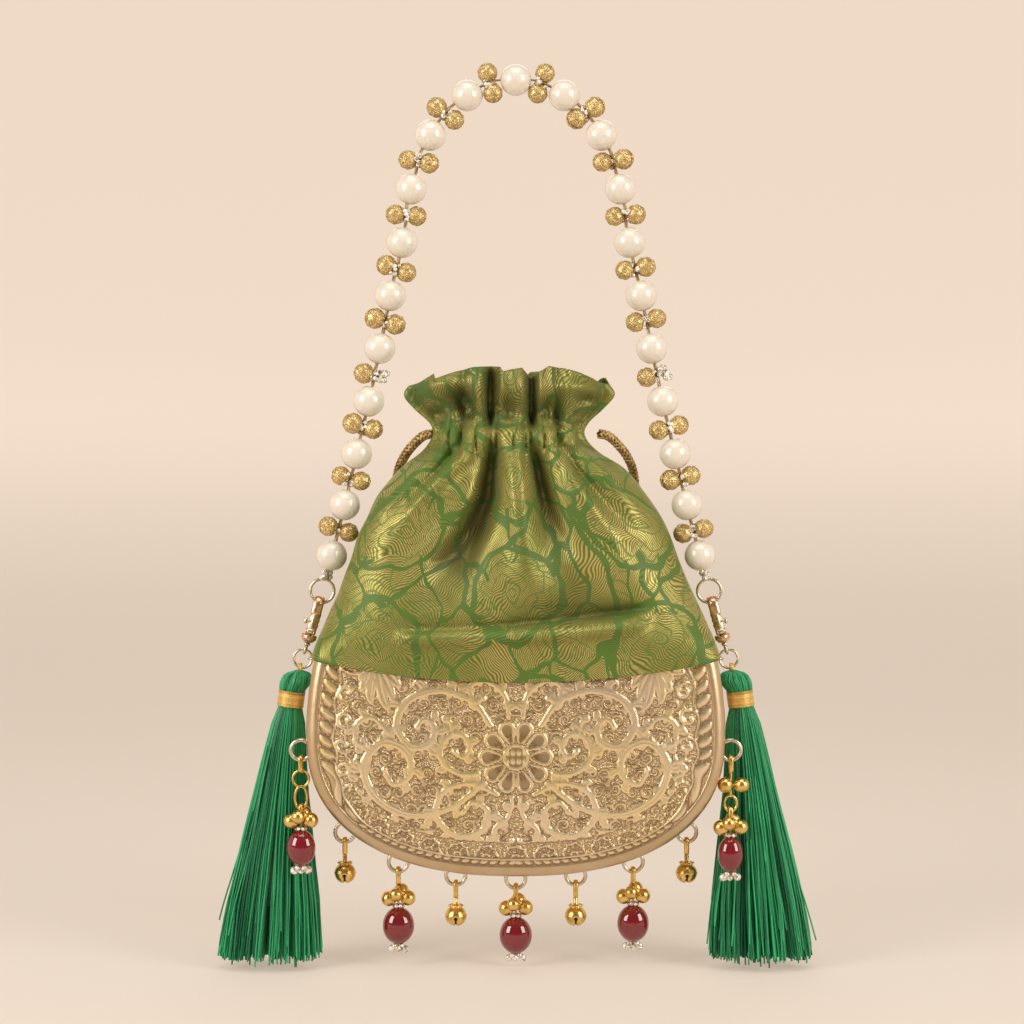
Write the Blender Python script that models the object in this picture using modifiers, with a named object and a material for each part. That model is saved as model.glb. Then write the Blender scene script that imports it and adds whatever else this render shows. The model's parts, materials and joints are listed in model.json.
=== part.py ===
"""Potli bag: a brocade drawstring pouch on an embossed metal shell, hung from a pearl and bell handle.

Metres, +Z up, front towards -Y. The origin is the centre of the handle's top pearl, and the bag hangs below it.
Lengths below are written in millimetres and scaled by MM where they are used.
"""

from math import cos, pi, radians, sin

import bmesh
import bpy
from mathutils import Matrix, Vector

MM = 0.001

# Handle strand: pearl centres from the top pearl down one side, as (x, z).
PEARL_PLACES = [
    (0.0, 0.0), (21.7, -6.9), (38.2, -24.6), (46.8, -48.5), (51.0, -72.4), (56.3, -96.2),
    (61.0, -119.8), (66.0, -143.5), (71.6, -167.1), (77.0, -190.1), (82.9, -212.9),
]
PEARL_RADIUS = 7.0
PEARL_BORE = 1.35
CORD_RADIUS = 1.0
GHUNGROO_RADIUS = 4.66  # over the corners of the facets
GHUNGROO_OFFSET = 4.72
LOOP_MEAN, LOOP_WIRE = 1.75, 0.55  # the loop at each end of the core cord
SINGLE_BELL_GAP = 7  # this gap, counted from the top, holds one bell and a bunch of crystals

# Hardware on each side, for the side at +X.
HANDLE_RING = Vector((87.2, 0.0, -228.8))
HANDLE_RING_MEAN, HANDLE_RING_WIRE = 5.33, 0.675
BAG_RING = Vector((96.0, 0.0, -259.4))
BAG_RING_MEAN, BAG_RING_WIRE = 4.15, 0.6
TASSEL_HANG = Vector((97.3, 0.0, -263.3))
LUG_X, LUG_MEAN, LUG_WIRE = 91.3, 2.0, 0.6

# Metal shell: half width SHELL_WIDE at SHELL_WIDEST, a superellipse below it and a slight taper above.
SHELL_WIDE, SHELL_WIDEST, SHELL_DROP, SHELL_POWER = 92.9, -291.4, 63.0, 2.35
SHELL_TAPER = 3.6 / 33.0**2
SHELL_TOP, PANEL_TOP = -254.5, -255.9
SHELL_HALF_DEPTH, SHELL_WALL, EDGE_ROUND, PANEL_CROWN = 25.0, 1.2, 5.0, 1.9
PANEL_GAP = 0.6  # between each panel and the band that it is soldered to
PANEL_MIDDLE = (0.0, -302.0)

# Rings soldered round the band at +X and the middle, each near (x, z) and standing off the band's outline.
RIM_RING_MEAN, RIM_RING_WIRE, RIM_RING_STAND = 4.4, 0.9, 4.75
RIM_RINGS = {"middle": (0.0, -359.3), "inner": (27.1, -357.8), "outer": (53.2, -352.0), "corner": (77.8, -338.9)}
SIDE_RING, SIDE_RING_Y = (95.6, -298.6), -17.0

# Pouch sections from hem to frill: height, half width, half depth, squareness.
CLOTH = 0.8
POUCH_SECTIONS = [
    (-258.2, 90.8, 29.2, 12.0), (-252.0, 89.6, 29.2, 11.0), (-244.0, 86.6, 28.8, 5.0), (-230.5, 80.6, 27.6, 3.2),
    (-217.0, 74.4, 26.6, 2.6), (-197.0, 65.4, 24.4, 2.3), (-180.0, 54.6, 21.4, 2.2), (-169.0, 43.6, 18.2, 2.1),
    (-161.0, 34.4, 15.4, 2.0), (-153.0, 35.0, 15.8, 2.0), (-140.0, 46.6, 21.4, 2.0), (-128.0, 46.0, 22.0, 2.0),
]
HEM_SAG = 9.4
PLEATS = 10
PLEAT_DEPTH = {-161.0: 0.035, -153.0: 0.05, -140.0: 0.06, -128.0: 0.07, -169.0: 0.02}

# Lining sections from the bottom up: height, half width, half depth, squareness.
LINING_SECTIONS = [
    (-347.0, 40.0, 21.0, 4.0), (-340.0, 58.0, 21.6, 4.0), (-325.0, 77.0, 22.0, 4.0), (-300.0, 87.0, 22.0, 4.0),
    (-262.0, 84.0, 22.0, 4.0), (-230.5, 74.0, 22.0, 3.0), (-197.0, 60.0, 20.0, 2.3), (-172.0, 41.0, 15.0, 2.1),
]

# Drawcord route on the side at +X: out of the channel, over the shoulder, down behind the pouch.
DRAWCORD_RADIUS = 2.2
DRAWCORD_ROUTE = [
    (37.6, 1.0, -158.2), (41.2, 2.6, -158.9), (45.4, 5.4, -162.2), (50.2, 9.6, -168.0), (53.6, 15.0, -175.4),
    (54.6, 20.6, -184.4), (53.4, 25.2, -194.6), (51.0, 28.2, -206.0), (48.8, 29.8, -218.0), (47.4, 30.8, -231.0),
    (46.6, 31.6, -244.0), (46.2, 32.2, -257.0), (46.0, 32.4, -266.0),
]
DRAWCORD_POINTS = 27

# Tassel sections on the side at +X, from head to skirt: height, centre x, half width, half depth.
TASSEL_SECTIONS = [
    (-264.6, 97.9, 1.6, 1.6), (-265.7, 98.1, 4.8, 4.7), (-269.3, 99.0, 7.0, 6.7), (-272.3, 100.2, 6.2, 6.0),
    (-273.3, 100.8, 5.0, 5.0), (-281.4, 101.9, 5.0, 5.0), (-282.6, 102.1, 6.6, 6.2), (-300.0, 104.0, 9.0, 7.6),
    (-320.0, 106.0, 11.8, 9.2), (-345.0, 108.2, 16.0, 11.4), (-370.0, 110.2, 19.6, 13.4), (-390.4, 111.5, 21.8, 14.6),
]
BINDING = (-277.35, 101.35, 3.4, 5.35, 6.4)  # centre z, centre x, half height, inner and outer radius
TASSEL_LOOP_MEAN, TASSEL_LOOP_WIRE, TASSEL_LEAN = 1.55, 0.55, 7.7

# Ruby drops: name, ring x sign, ring, ruby centre z, ruby half width, ruby half height, ball radius.
DROPS = [
    ("1", -1, "outer", -380.5, 7.2, 8.55, 3.5),
    ("2", 1, "middle", -384.9, 7.4, 8.55, 3.5),
    ("3", 1, "outer", -379.5, 7.2, 8.55, 3.5),
]
# Drops on the side chains: name, x sign, pivot z, ruby centre z, ruby half width, ruby half height, ball radius.
SIDE_DROPS = [("left", -1, -324.6, -342.3, 6.5, 8.3, 3.5), ("right", 1, -326.0, -345.2, 5.6, 8.3, 3.4)]
RUBY_BORE, PIN_RADIUS, RUBY_DEPTH = 1.0, 0.6, 0.86
BAIL_HALF, BAIL_WIRE, BAIL_BROAD = 1.9, 0.6, 1.7
SEED_RADIUS = 2.1
BELLS = [("corner", -1), ("inner", -1), ("inner", 1), ("corner", 1)]
BELL_RADIUS, BELL_WALL, BELL_CENTRE = 5.0, 0.7, -14.0

MATERIALS = {
    "pearl": ((0.86, 0.80, 0.68), 0.0, 0.22),
    "brass": ((0.66, 0.43, 0.13), 1.0, 0.30),
    "clasp_metal": ((0.52, 0.32, 0.17), 1.0, 0.32),
    "silver_gold": ((0.58, 0.50, 0.38), 1.0, 0.28),
    "shell_metal": ((0.60, 0.42, 0.20), 1.0, 0.34),
    "brocade": ((0.30, 0.34, 0.08), 0.0, 0.55),
    "lining_cloth": ((0.22, 0.27, 0.08), 0.0, 0.80),
    "cord": ((0.28, 0.19, 0.07), 0.0, 0.60),
    "silk_green": ((0.0, 0.16, 0.06), 0.0, 0.45),
    "gold_thread": ((0.58, 0.36, 0.08), 0.4, 0.45),
    "ruby": ((0.30, 0.0, 0.012), 0.0, 0.08),
}


def clear_scene():
    for old in list(bpy.data.objects):
        bpy.data.objects.remove(old)


def new_collection(name, hidden):
    made = bpy.data.collections.new(name)
    made.hide_render = hidden
    bpy.context.scene.collection.children.link(made)
    return made


def make_materials():
    for name, (colour, metallic, roughness) in MATERIALS.items():
        made = bpy.data.materials.new(name)
        made.use_nodes = True
        shader = made.node_tree.nodes["Principled BSDF"]
        shader.inputs["Base Color"].default_value = (*colour, 1.0)
        shader.inputs["Metallic"].default_value = metallic
        shader.inputs["Roughness"].default_value = roughness


def settle(obj, collection, material=None):
    """Keeps the object in one collection only, with one material, shaded smooth below 40 degrees."""
    for home in list(obj.users_collection):
        home.objects.unlink(obj)
    collection.objects.link(obj)
    if collection is HELPERS:
        obj.hide_render = True
        obj.display_type = "WIRE"
    if material:
        obj.data.materials.clear()
        obj.data.materials.append(bpy.data.materials[material])
    if obj.type == "MESH":
        obj.data.shade_smooth()
        obj.data.set_sharp_from_angle(angle=radians(40))
    return obj


def millimetres(*values):
    return tuple(value * MM for value in values)


def ball(centre, radii, segments=10, rings=6):
    bpy.ops.mesh.primitive_uv_sphere_add(segments=segments, ring_count=rings, radius=1.0, location=centre * MM)
    made = bpy.context.object
    made.scale = Vector(radii) * MM
    return made


def ring(centre, normal, mean, wire, around=14, sides=6):
    """A closed wire ring whose axis is normal."""
    turn = Vector(normal).to_track_quat("Z", "Y").to_euler()
    bpy.ops.mesh.primitive_torus_add(
        location=centre * MM,
        rotation=turn,
        major_segments=around,
        minor_segments=sides,
        major_radius=mean * MM,
        minor_radius=wire * MM,
    )
    return bpy.context.object


def rod(start, end, radius, sides=8):
    along = end - start
    bpy.ops.mesh.primitive_cylinder_add(
        vertices=sides,
        radius=radius * MM,
        depth=along.length * MM,
        location=(start + end) * 0.5 * MM,
        rotation=along.to_track_quat("Z", "Y").to_euler(),
    )
    return bpy.context.object


def tube(name, points, radius, sides_level=2, cyclic=False):
    """A round wire along the points, as a curve object."""
    data = bpy.data.curves.new(name, "CURVE")
    data.dimensions = "3D"
    data.bevel_depth = radius * MM
    data.bevel_resolution = sides_level
    data.use_fill_caps = not cyclic
    spline = data.splines.new("POLY")
    spline.points.add(len(points) - 1)
    for place, point in zip(spline.points, points):
        place.co = (*(Vector(point) * MM), 1.0)
    spline.use_cyclic_u = cyclic
    made = bpy.data.objects.new(name, data)
    bpy.context.scene.collection.objects.link(made)
    return made


def realised(curve, place=None):
    """The curve as a mesh object with welded caps, moved by place."""
    graph = bpy.context.evaluated_depsgraph_get()
    mesh = bpy.data.meshes.new_from_object(curve.evaluated_get(graph))
    welded = bmesh.new()
    welded.from_mesh(mesh)
    bmesh.ops.remove_doubles(welded, verts=welded.verts, dist=1e-6)
    welded.to_mesh(mesh)
    welded.free()
    made = bpy.data.objects.new(curve.name, mesh)
    made.matrix_world = place if place else curve.matrix_world.copy()
    bpy.context.scene.collection.objects.link(made)
    bpy.data.objects.remove(curve)
    return made


def grouped(objects):
    """Shapes that lie clear of each other, as one mesh object with its place in its mesh."""
    bpy.context.view_layer.update()
    together = bmesh.new()
    for part in objects:
        own = bmesh.new()
        own.from_mesh(part.data)
        own.transform(part.matrix_world)
        copy = bpy.data.meshes.new("copy")
        own.to_mesh(copy)
        own.free()
        together.from_mesh(copy)
        bpy.data.meshes.remove(copy)
        bpy.data.objects.remove(part)
    mesh = bpy.data.meshes.new("group")
    together.to_mesh(mesh)
    together.free()
    made = bpy.data.objects.new("group", mesh)
    bpy.context.scene.collection.objects.link(made)
    return made


def add_boolean(body, operation, other):
    modifier = body.modifiers.new(operation.lower(), "BOOLEAN")
    modifier.operation = operation
    modifier.solver = "EXACT"
    modifier.object = settle(other, HELPERS)


def joined(name, material, parts):
    """One soldered or strung body: the first part with the others united to it."""
    body = grouped(parts[:1])
    body.name = name
    body.data.name = name
    for number, part in enumerate(parts[1:]):
        helper = grouped([part])
        helper.name = f"{name}_join_{number + 1}"
        add_boolean(body, "UNION", helper)
    return settle(body, BAG, material)


def turned(name, material, outlines, place, steps=12, closed=False):
    """A solid of revolution about local Z, from outlines given as (radius, height) lists."""
    mesh = bpy.data.meshes.new(name)
    points, edges = [], []
    for outline in outlines:
        first = len(points)
        points += [millimetres(radius, 0.0, height) for radius, height in outline]
        edges += [(first + i, first + i + 1) for i in range(len(outline) - 1)]
        if closed:
            edges.append((len(points) - 1, first))
    mesh.from_pydata(points, edges, [])
    made = bpy.data.objects.new(name, mesh)
    made.matrix_world = place
    screw = made.modifiers.new("turn", "SCREW")
    screw.steps = steps
    screw.render_steps = steps
    screw.use_merge_vertices = True
    screw.merge_threshold = 1e-6
    screw.use_smooth_shade = True
    return settle(made, BAG, material)


def loft(name, rings, cap_first=False, cap_last=False, cyclic=True):
    """A surface through rings of points, one face strip between each two rings."""
    surface = bmesh.new()
    rows = [[surface.verts.new(Vector(point) * MM) for point in points] for points in rings]
    count = len(rows[0])
    for low, high in zip(rows, rows[1:]):
        for i in range(count if cyclic else count - 1):
            j = (i + 1) % count
            surface.faces.new((low[i], low[j], high[j], high[i]))
    if cap_first:
        surface.faces.new(list(reversed(rows[0])))
    if cap_last:
        surface.faces.new(rows[-1])
    bmesh.ops.recalc_face_normals(surface, faces=surface.faces)
    mesh = bpy.data.meshes.new(name)
    surface.to_mesh(mesh)
    surface.free()
    made = bpy.data.objects.new(name, mesh)
    bpy.context.scene.collection.objects.link(made)
    return made


def thicken(obj, thickness):
    """Gives an open sheet its wall, grown inwards from its outer face."""
    solid = obj.modifiers.new("wall", "SOLIDIFY")
    solid.thickness = thickness * MM
    solid.offset = -1.0
    solid.use_even_offset = True
    return obj


def superellipse(angle, half_width, half_depth, power):
    """A point of a rounded section: angle 0 is +X, 90 degrees is +Y."""
    across, deep = cos(angle), sin(angle)
    size = (abs(across) ** power + abs(deep) ** power) ** (-1.0 / power)
    return half_width * across * size, half_depth * deep * size


def mirror_x(point, side):
    return Vector((point[0] * side, point[1], point[2]))


# ---------------------------------------------------------------- handle strand


def strand_places():
    """Pearl centres along the whole strand, left end to right end."""
    right = [Vector((x, 0.0, z)) for x, z in PEARL_PLACES]
    left = [mirror_x(place, -1) for place in reversed(right[1:])]
    return left + right


def strand_directions(places):
    """The strand's direction through each pearl. At the ends it points at the handle ring."""
    last = (HANDLE_RING - places[-1]).normalized()
    first = mirror_x(last, -1) * -1.0
    inner = [(after - before).normalized() for before, after in zip(places, places[2:])]
    return [first, *inner, last]


def make_pearls(places, directions):
    half_bore = (PEARL_RADIUS**2 - PEARL_BORE**2) ** 0.5
    lean = [radians(angle) for angle in (45, 90, 135)]
    outline = [(PEARL_BORE, half_bore)]
    outline += [(PEARL_RADIUS * sin(angle), PEARL_RADIUS * cos(angle)) for angle in lean]
    outline += [(PEARL_BORE, -half_bore)]
    for number, (place, along) in enumerate(zip(places, directions), start=1):
        turn = along.to_track_quat("Z", "Y").to_matrix().to_4x4()
        where = Matrix.Translation(place * MM) @ turn
        turned(f"pearl_{number:02d}", "pearl", [outline], where, steps=10, closed=True)


def make_ghungroo_cord(places, directions):
    """The core cord, straight through each pearl, with the bells tied in the gaps and a loop at each end."""
    through = PEARL_RADIUS + 0.6
    entries = [place - along * through for place, along in zip(places, directions)]
    exits = [place + along * through for place, along in zip(places, directions)]
    first_ring = mirror_x(HANDLE_RING, -1)
    first_loop = first_ring + (places[0] - first_ring).normalized() * HANDLE_RING_MEAN
    last_loop = mirror_x(first_loop, -1)
    points = [first_loop + directions[0] * LOOP_MEAN]
    for entry, leave in zip(entries, exits):
        points += [entry, leave]
    points.append(last_loop - directions[-1] * LOOP_MEAN)
    middle = len(places) // 2
    bells = []
    for gap, (leave, entry) in enumerate(zip(exits, entries[1:])):
        centre = (leave + entry) * 0.5
        along = (entry - leave).normalized()
        across = Vector((along.z, 0.0, -along.x))
        from_top = gap - middle + 1 if gap >= middle else middle - gap
        for side in (1,) if from_top == SINGLE_BELL_GAP else (1, -1):
            place = centre + across * side * GHUNGROO_OFFSET
            bells.append(ball(place, (GHUNGROO_RADIUS,) * 3, segments=7, rings=4))
    cord = realised(tube("core", points, CORD_RADIUS, sides_level=1))
    loops = [ring(place, (1, 0, 0), LOOP_MEAN, LOOP_WIRE, around=10, sides=5) for place in (first_loop, last_loop)]
    return joined("ghungroo_cord", "brass", [cord, grouped(bells), grouped(loops)])


# ---------------------------------------------------------------- clasps and rings


def clasp_frame(side):
    """Local Z runs up the clasp from the bag ring to the handle ring, and Y stays level. The hook's ring is at 0."""
    upper, lower = mirror_x(HANDLE_RING, side), mirror_x(BAG_RING, side)
    down = (lower - upper).normalized()
    contact = upper + down * HANDLE_RING_MEAN
    lean = Vector((0, 0, 1)).rotation_difference(-down).to_matrix().to_4x4()
    reach = (lower - contact).length - BAG_RING_MEAN
    return Matrix.Translation(contact * MM) @ lean, reach


HOOK_ROUND, HOOK_CENTRE, HOOK_WIRE, HOOK_BROAD = 3.65, (0.35, -1.5), 1.1, 1.9
COLLAR_TOP, COLLAR_BOTTOM, COLLAR_RADIUS, COLLAR_BORE = -15.2, -18.6, 3.6, 1.0
GATE_PIVOT, GATE_TIP, GATE_WIRE = (-3.2, -13.4), -5.5, 0.8


def make_clasp(side, label):
    place, reach = clasp_frame(side)
    arc = [
        (0.0, HOOK_CENTRE[0] - HOOK_ROUND * cos(turn), HOOK_CENTRE[1] + HOOK_ROUND * sin(turn))
        for turn in [pi * step / 8 for step in range(9)]
    ]
    spine = HOOK_CENTRE[0] + HOOK_ROUND
    hook_line = [(0.0, arc[0][1], -5.0), *arc, (0.0, spine, -11.0), (0.0, 3.0, -14.3), (0.0, 2.6, -16.6)]
    broaden = Matrix.Diagonal((HOOK_BROAD, 1.0, 1.0, 1.0))
    hook = realised(tube("hook", hook_line, HOOK_WIRE, sides_level=2), place @ broaden)
    collar_line = [
        (COLLAR_BORE, COLLAR_TOP), (COLLAR_RADIUS, COLLAR_TOP), (COLLAR_RADIUS, COLLAR_TOP - 1.4),
        (2.5, COLLAR_BOTTOM), (COLLAR_BORE, COLLAR_BOTTOM),
    ]
    collar = turned(f"collar_{label}", "clasp_metal", [collar_line], place, steps=12, closed=True)
    collar = realised(collar, place.copy())
    ears = []
    for offset in (-1.75, 1.75):
        bpy.ops.mesh.primitive_cube_add(size=1.0)
        ear = bpy.context.object
        low, high = COLLAR_TOP - 0.8, GATE_PIVOT[1] + 1.0
        middle = Vector((offset, -2.9, (low + high) / 2))
        size = Matrix.Diagonal(Vector((0.7, 2.2, high - low)) * MM).to_4x4()
        ear.matrix_world = place @ Matrix.Translation(middle * MM) @ size
        ears.append(ear)
    pivot = Vector((0.0, *GATE_PIVOT))
    pin = rod(pivot - Vector((1.8, 0, 0)), pivot + Vector((1.8, 0, 0)), 0.5)
    bpy.context.view_layer.update()
    pin.matrix_world = place @ pin.matrix_world
    joined(f"clasp_body_{label}", "clasp_metal", [collar, hook, grouped(ears), pin])

    lever_line = [(0.0, -3.25, GATE_PIVOT[1] + 1.3), (0.0, -3.6, -10.0), (0.0, -3.4, GATE_TIP)]
    lever = realised(tube("lever", lever_line, GATE_WIRE, sides_level=2), place @ Matrix.Diagonal((1.6, 1, 1, 1)))
    eye_line = [(0.8, 0.85), (1.55, 0.85), (1.55, -0.85), (0.8, -0.85)]
    eye_turn = Matrix.Translation(pivot * MM) @ Matrix.Rotation(pi / 2, 4, "Y")
    eye = realised(turned(f"eye_{label}", "clasp_metal", [eye_line], place @ eye_turn, steps=10, closed=True))
    knob_foot, knob_head = Vector((side * 0.6, -3.5, -9.0)), Vector((side * 3.2, -3.7, -9.2))
    knob = rod(knob_foot, knob_head, 0.65)
    thumb = ball(knob_head, (0.95, 0.95, 1.5), segments=8, rings=5)
    bpy.context.view_layer.update()
    for part in (knob, thumb):
        part.matrix_world = place @ part.matrix_world
    joined(f"clasp_gate_{label}", "silver_gold", [lever, eye, knob, thumb])

    eye_mean, eye_wire = 1.95, 0.7
    eye_centre = -reach - BAG_RING_WIRE - 0.35 - eye_wire + eye_mean
    stem_line = [
        (0.0, COLLAR_TOP + 1.2), (1.35, COLLAR_TOP + 1.2), (1.35, COLLAR_TOP + 0.4), (0.65, COLLAR_TOP + 0.4),
        (0.65, COLLAR_BOTTOM - 0.4), (1.5, COLLAR_BOTTOM - 0.4), (1.5, eye_centre + eye_mean - 0.3),
        (0.0, eye_centre + eye_mean - 0.3),
    ]
    stem = realised(turned(f"stem_{label}", "clasp_metal", [stem_line], place, steps=10))
    loop = ring(Vector((0, 0, eye_centre)), (1, 0, 0), eye_mean, eye_wire, around=12)
    bpy.context.view_layer.update()
    loop.matrix_world = place @ loop.matrix_world
    joined(f"clasp_swivel_{label}", "clasp_metal", [stem, loop])


def make_rings(side, label):
    upper = ring(mirror_x(HANDLE_RING, side), (0, 1, 0), HANDLE_RING_MEAN, HANDLE_RING_WIRE, around=20)
    lower = ring(mirror_x(BAG_RING, side), (0, 1, 0), BAG_RING_MEAN, BAG_RING_WIRE, around=18)
    joined(f"handle_ring_{label}", "silver_gold", [upper])
    joined(f"bag_ring_{label}", "silver_gold", [lower])


# ---------------------------------------------------------------- metal shell


def shell_half_width(height, inset=0.0):
    if height >= SHELL_WIDEST:
        return SHELL_WIDE - inset - SHELL_TAPER * (height - SHELL_WIDEST) ** 2
    drop = (SHELL_WIDEST - height) / (SHELL_DROP - inset)
    return (SHELL_WIDE - inset) * max(0.0, 1.0 - drop**SHELL_POWER) ** (1.0 / SHELL_POWER)


def shell_outline(top, inset, upper_steps=3, lower_steps=28):
    """Points (x, z) of the U-shaped outline from its left top round the bottom to its right top."""
    heights = [top + (SHELL_WIDEST - top) * step / upper_steps for step in range(upper_steps)]
    left = [(-shell_half_width(height, inset), height) for height in heights]
    bottom = []
    for step in range(lower_steps + 1):
        x, fall = superellipse(pi * step / lower_steps, SHELL_WIDE - inset, SHELL_DROP - inset, SHELL_POWER)
        bottom.append((-x, SHELL_WIDEST - fall))
    right = [(-x, z) for x, z in reversed(left)]
    return left + bottom + right


def rim_ring(name, side):
    """The centre of a soldered ring: RIM_RING_STAND out from the nearest point of the band's outline."""
    near = Vector(RIM_RINGS[name])
    outline = [Vector(point) for point in shell_outline(SHELL_TOP, 0.0, lower_steps=240)]
    foot = min(outline, key=lambda point: (point - near).length)
    place = foot + (near - foot).normalized() * RIM_RING_STAND
    return Vector((place.x * side, 0.0, place.y))


def band_section():
    """Inset and y across the band: a rounded edge, a nearly flat middle and a rounded edge."""
    turns = [radians(angle) for angle in (0, 30, 60, 90)]
    flat = SHELL_HALF_DEPTH - EDGE_ROUND
    front = [(EDGE_ROUND - EDGE_ROUND * sin(turn), -flat - EDGE_ROUND * cos(turn)) for turn in turns]
    back = [(inset, -y) for inset, y in reversed(front)]
    return front + back


def make_side_band():
    rings = [[(x, y, z) for x, z in shell_outline(SHELL_TOP, inset)] for inset, y in band_section()]
    band = loft("side_band", rings, cyclic=False)
    face_away_from(band, Vector((0, 0, SHELL_WIDEST)) * MM)
    thicken(band, SHELL_WALL)
    band = realised(band)
    places = [rim_ring(name, 1) for name in RIM_RINGS]
    places += [rim_ring(name, -1) for name in RIM_RINGS if name != "middle"]
    places += [Vector((SIDE_RING[0] * side, SIDE_RING_Y, SIDE_RING[1])) for side in (-1, 1)]
    solder = [ring(place, (0, 1, 0), RIM_RING_MEAN, RIM_RING_WIRE, 12, 5) for place in places]
    for side in (-1, 1):
        solder.append(ring(Vector((LUG_X * side, 0.0, BAG_RING.z)), (0, 0, 1), LUG_MEAN, LUG_WIRE, 10, 5))
    joined("side_band", "shell_metal", [band, grouped(solder)])


def face_away_from(obj, centre):
    """Turns an open sheet's faces to point away from centre."""
    sheet = bmesh.new()
    sheet.from_mesh(obj.data)
    sheet.faces.ensure_lookup_table()
    facing = sum((face.calc_center_median() - centre).dot(face.normal) for face in sheet.faces)
    if facing < 0:
        bmesh.ops.reverse_faces(sheet, faces=sheet.faces)
    sheet.to_mesh(obj.data)
    sheet.free()


def make_panel(name, facing):
    """A crowned plate inside the band's edge. Its rings of points shrink towards the middle of the plate."""
    outline = shell_outline(PANEL_TOP, EDGE_ROUND + PANEL_GAP)
    middle = Vector(PANEL_MIDDLE)
    rings = []
    for share in (1.0, 0.72, 0.42, 0.14):
        depth = facing * (SHELL_HALF_DEPTH + PANEL_CROWN * (1.0 - share**2))
        flat = [middle + (Vector(point) - middle) * share for point in outline]
        rings.append([(point.x, depth, point.y) for point in flat])
    plate = loft(name, rings, cap_last=True)
    face_away_from(plate, Vector((0, 0, SHELL_WIDEST)) * MM)
    thicken(plate, SHELL_WALL)
    settle(plate, BAG, "shell_metal")


# ---------------------------------------------------------------- cloth


def cloth_rings(sections, around, pleated):
    rings = []
    for height, half_width, half_depth, power in sections:
        depth = PLEAT_DEPTH.get(height, 0.0) if pleated else 0.0
        sag = HEM_SAG if pleated and height == sections[0][0] else 0.0
        row = []
        for step in range(around):
            angle = 2 * pi * step / around
            x, y = superellipse(angle, half_width, half_depth, power)
            swell = 1.0 + depth * cos(PLEATS * angle)
            middle = max(0.0, 1.0 - (x / half_width) ** 2)
            row.append((x * swell, y * swell, height - sag * middle))
        rings.append(row)
    return rings


def make_pouch():
    cloth = loft("pouch", cloth_rings(POUCH_SECTIONS, 44, pleated=True))
    thicken(cloth, CLOTH)
    settle(cloth, BAG, "brocade")


def make_lining():
    """An inner bag that hangs inside the pouch and the shell, closed at the bottom."""
    bottom = LINING_SECTIONS[0]
    inner = [(bottom[0] - 1.5, bottom[1] * 0.5, bottom[2] * 0.5, bottom[3])]
    cloth = loft("lining", cloth_rings(inner + LINING_SECTIONS, 24, pleated=False), cap_first=True)
    thicken(cloth, CLOTH)
    settle(cloth, BAG, "lining_cloth")


def smooth_route(points, count):
    """Evenly stepped points on a Catmull-Rom curve through the route's own points."""
    ends = [points[0] * 2 - points[1], *points, points[-1] * 2 - points[-2]]
    spans = len(points) - 1
    smooth = []
    for step in range(count + 1):
        at = min(spans * step / count, spans - 1e-9)
        span = int(at)
        t = at - span
        a, b, c, d = ends[span : span + 4]
        smooth.append(
            0.5 * (2 * b + (c - a) * t + (2 * a - 5 * b + 4 * c - d) * t**2 + (3 * b - a - 3 * c + d) * t**3)
        )
    return smooth


def make_drawcord(side, label):
    route = [mirror_x(point, side) for point in DRAWCORD_ROUTE]
    cord = tube(f"drawcord_{label}", smooth_route(route, DRAWCORD_POINTS), DRAWCORD_RADIUS, sides_level=2)
    settle(cord, BAG, "cord")


# ---------------------------------------------------------------- tassels and charms


def make_tassel(side, label):
    rings = []
    for height, centre, half_width, half_depth in TASSEL_SECTIONS:
        turns = [2 * pi * step / 14 for step in range(14)]
        rings.append([(side * centre + half_width * cos(a), half_depth * sin(a), height) for a in turns])
    skein = loft(f"tassel_{label}", rings, cap_first=True, cap_last=True)
    loop = ring(mirror_x(TASSEL_HANG, side), (1, 0, 0), TASSEL_LOOP_MEAN, TASSEL_LOOP_WIRE, around=10)
    joined(f"tassel_{label}", "silk_green", [skein, loop])
    height, centre, half, inner, outer = BINDING
    binding_line = [(inner, half), (outer, half * 0.8), (outer, -half * 0.8), (inner, -half)]
    lean = Matrix.Rotation(radians(-TASSEL_LEAN) * side, 4, "Y")
    where = Matrix.Translation(Vector((side * centre, 0.0, height)) * MM) @ lean
    turned(f"tassel_binding_{label}", "gold_thread", [binding_line], where, steps=14, closed=True)


def below_ring(centre):
    """The middle of a soldered ring's lowest stretch of wire, where a charm hangs."""
    return centre - Vector((0.0, 0.0, RIM_RING_MEAN))


def bail(pivot, drop):
    """A strap loop round a ring's wire, from just above the pivot to drop below it, in the YZ plane."""
    half = top = BAIL_HALF
    upper = [(half * cos(pi * i / 4), top - half + half * sin(pi * i / 4)) for i in range(5)]
    lower = [(-y, -z + (top - drop)) for y, z in upper]
    line = [Vector((0.0, y, z)) for y, z in upper + lower]
    broaden = Matrix.Translation(pivot * MM) @ Matrix.Diagonal((BAIL_BROAD, 1.0, 1.0, 1.0))
    return realised(tube("bail", line, BAIL_WIRE, sides_level=1, cyclic=True), broaden)


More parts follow.
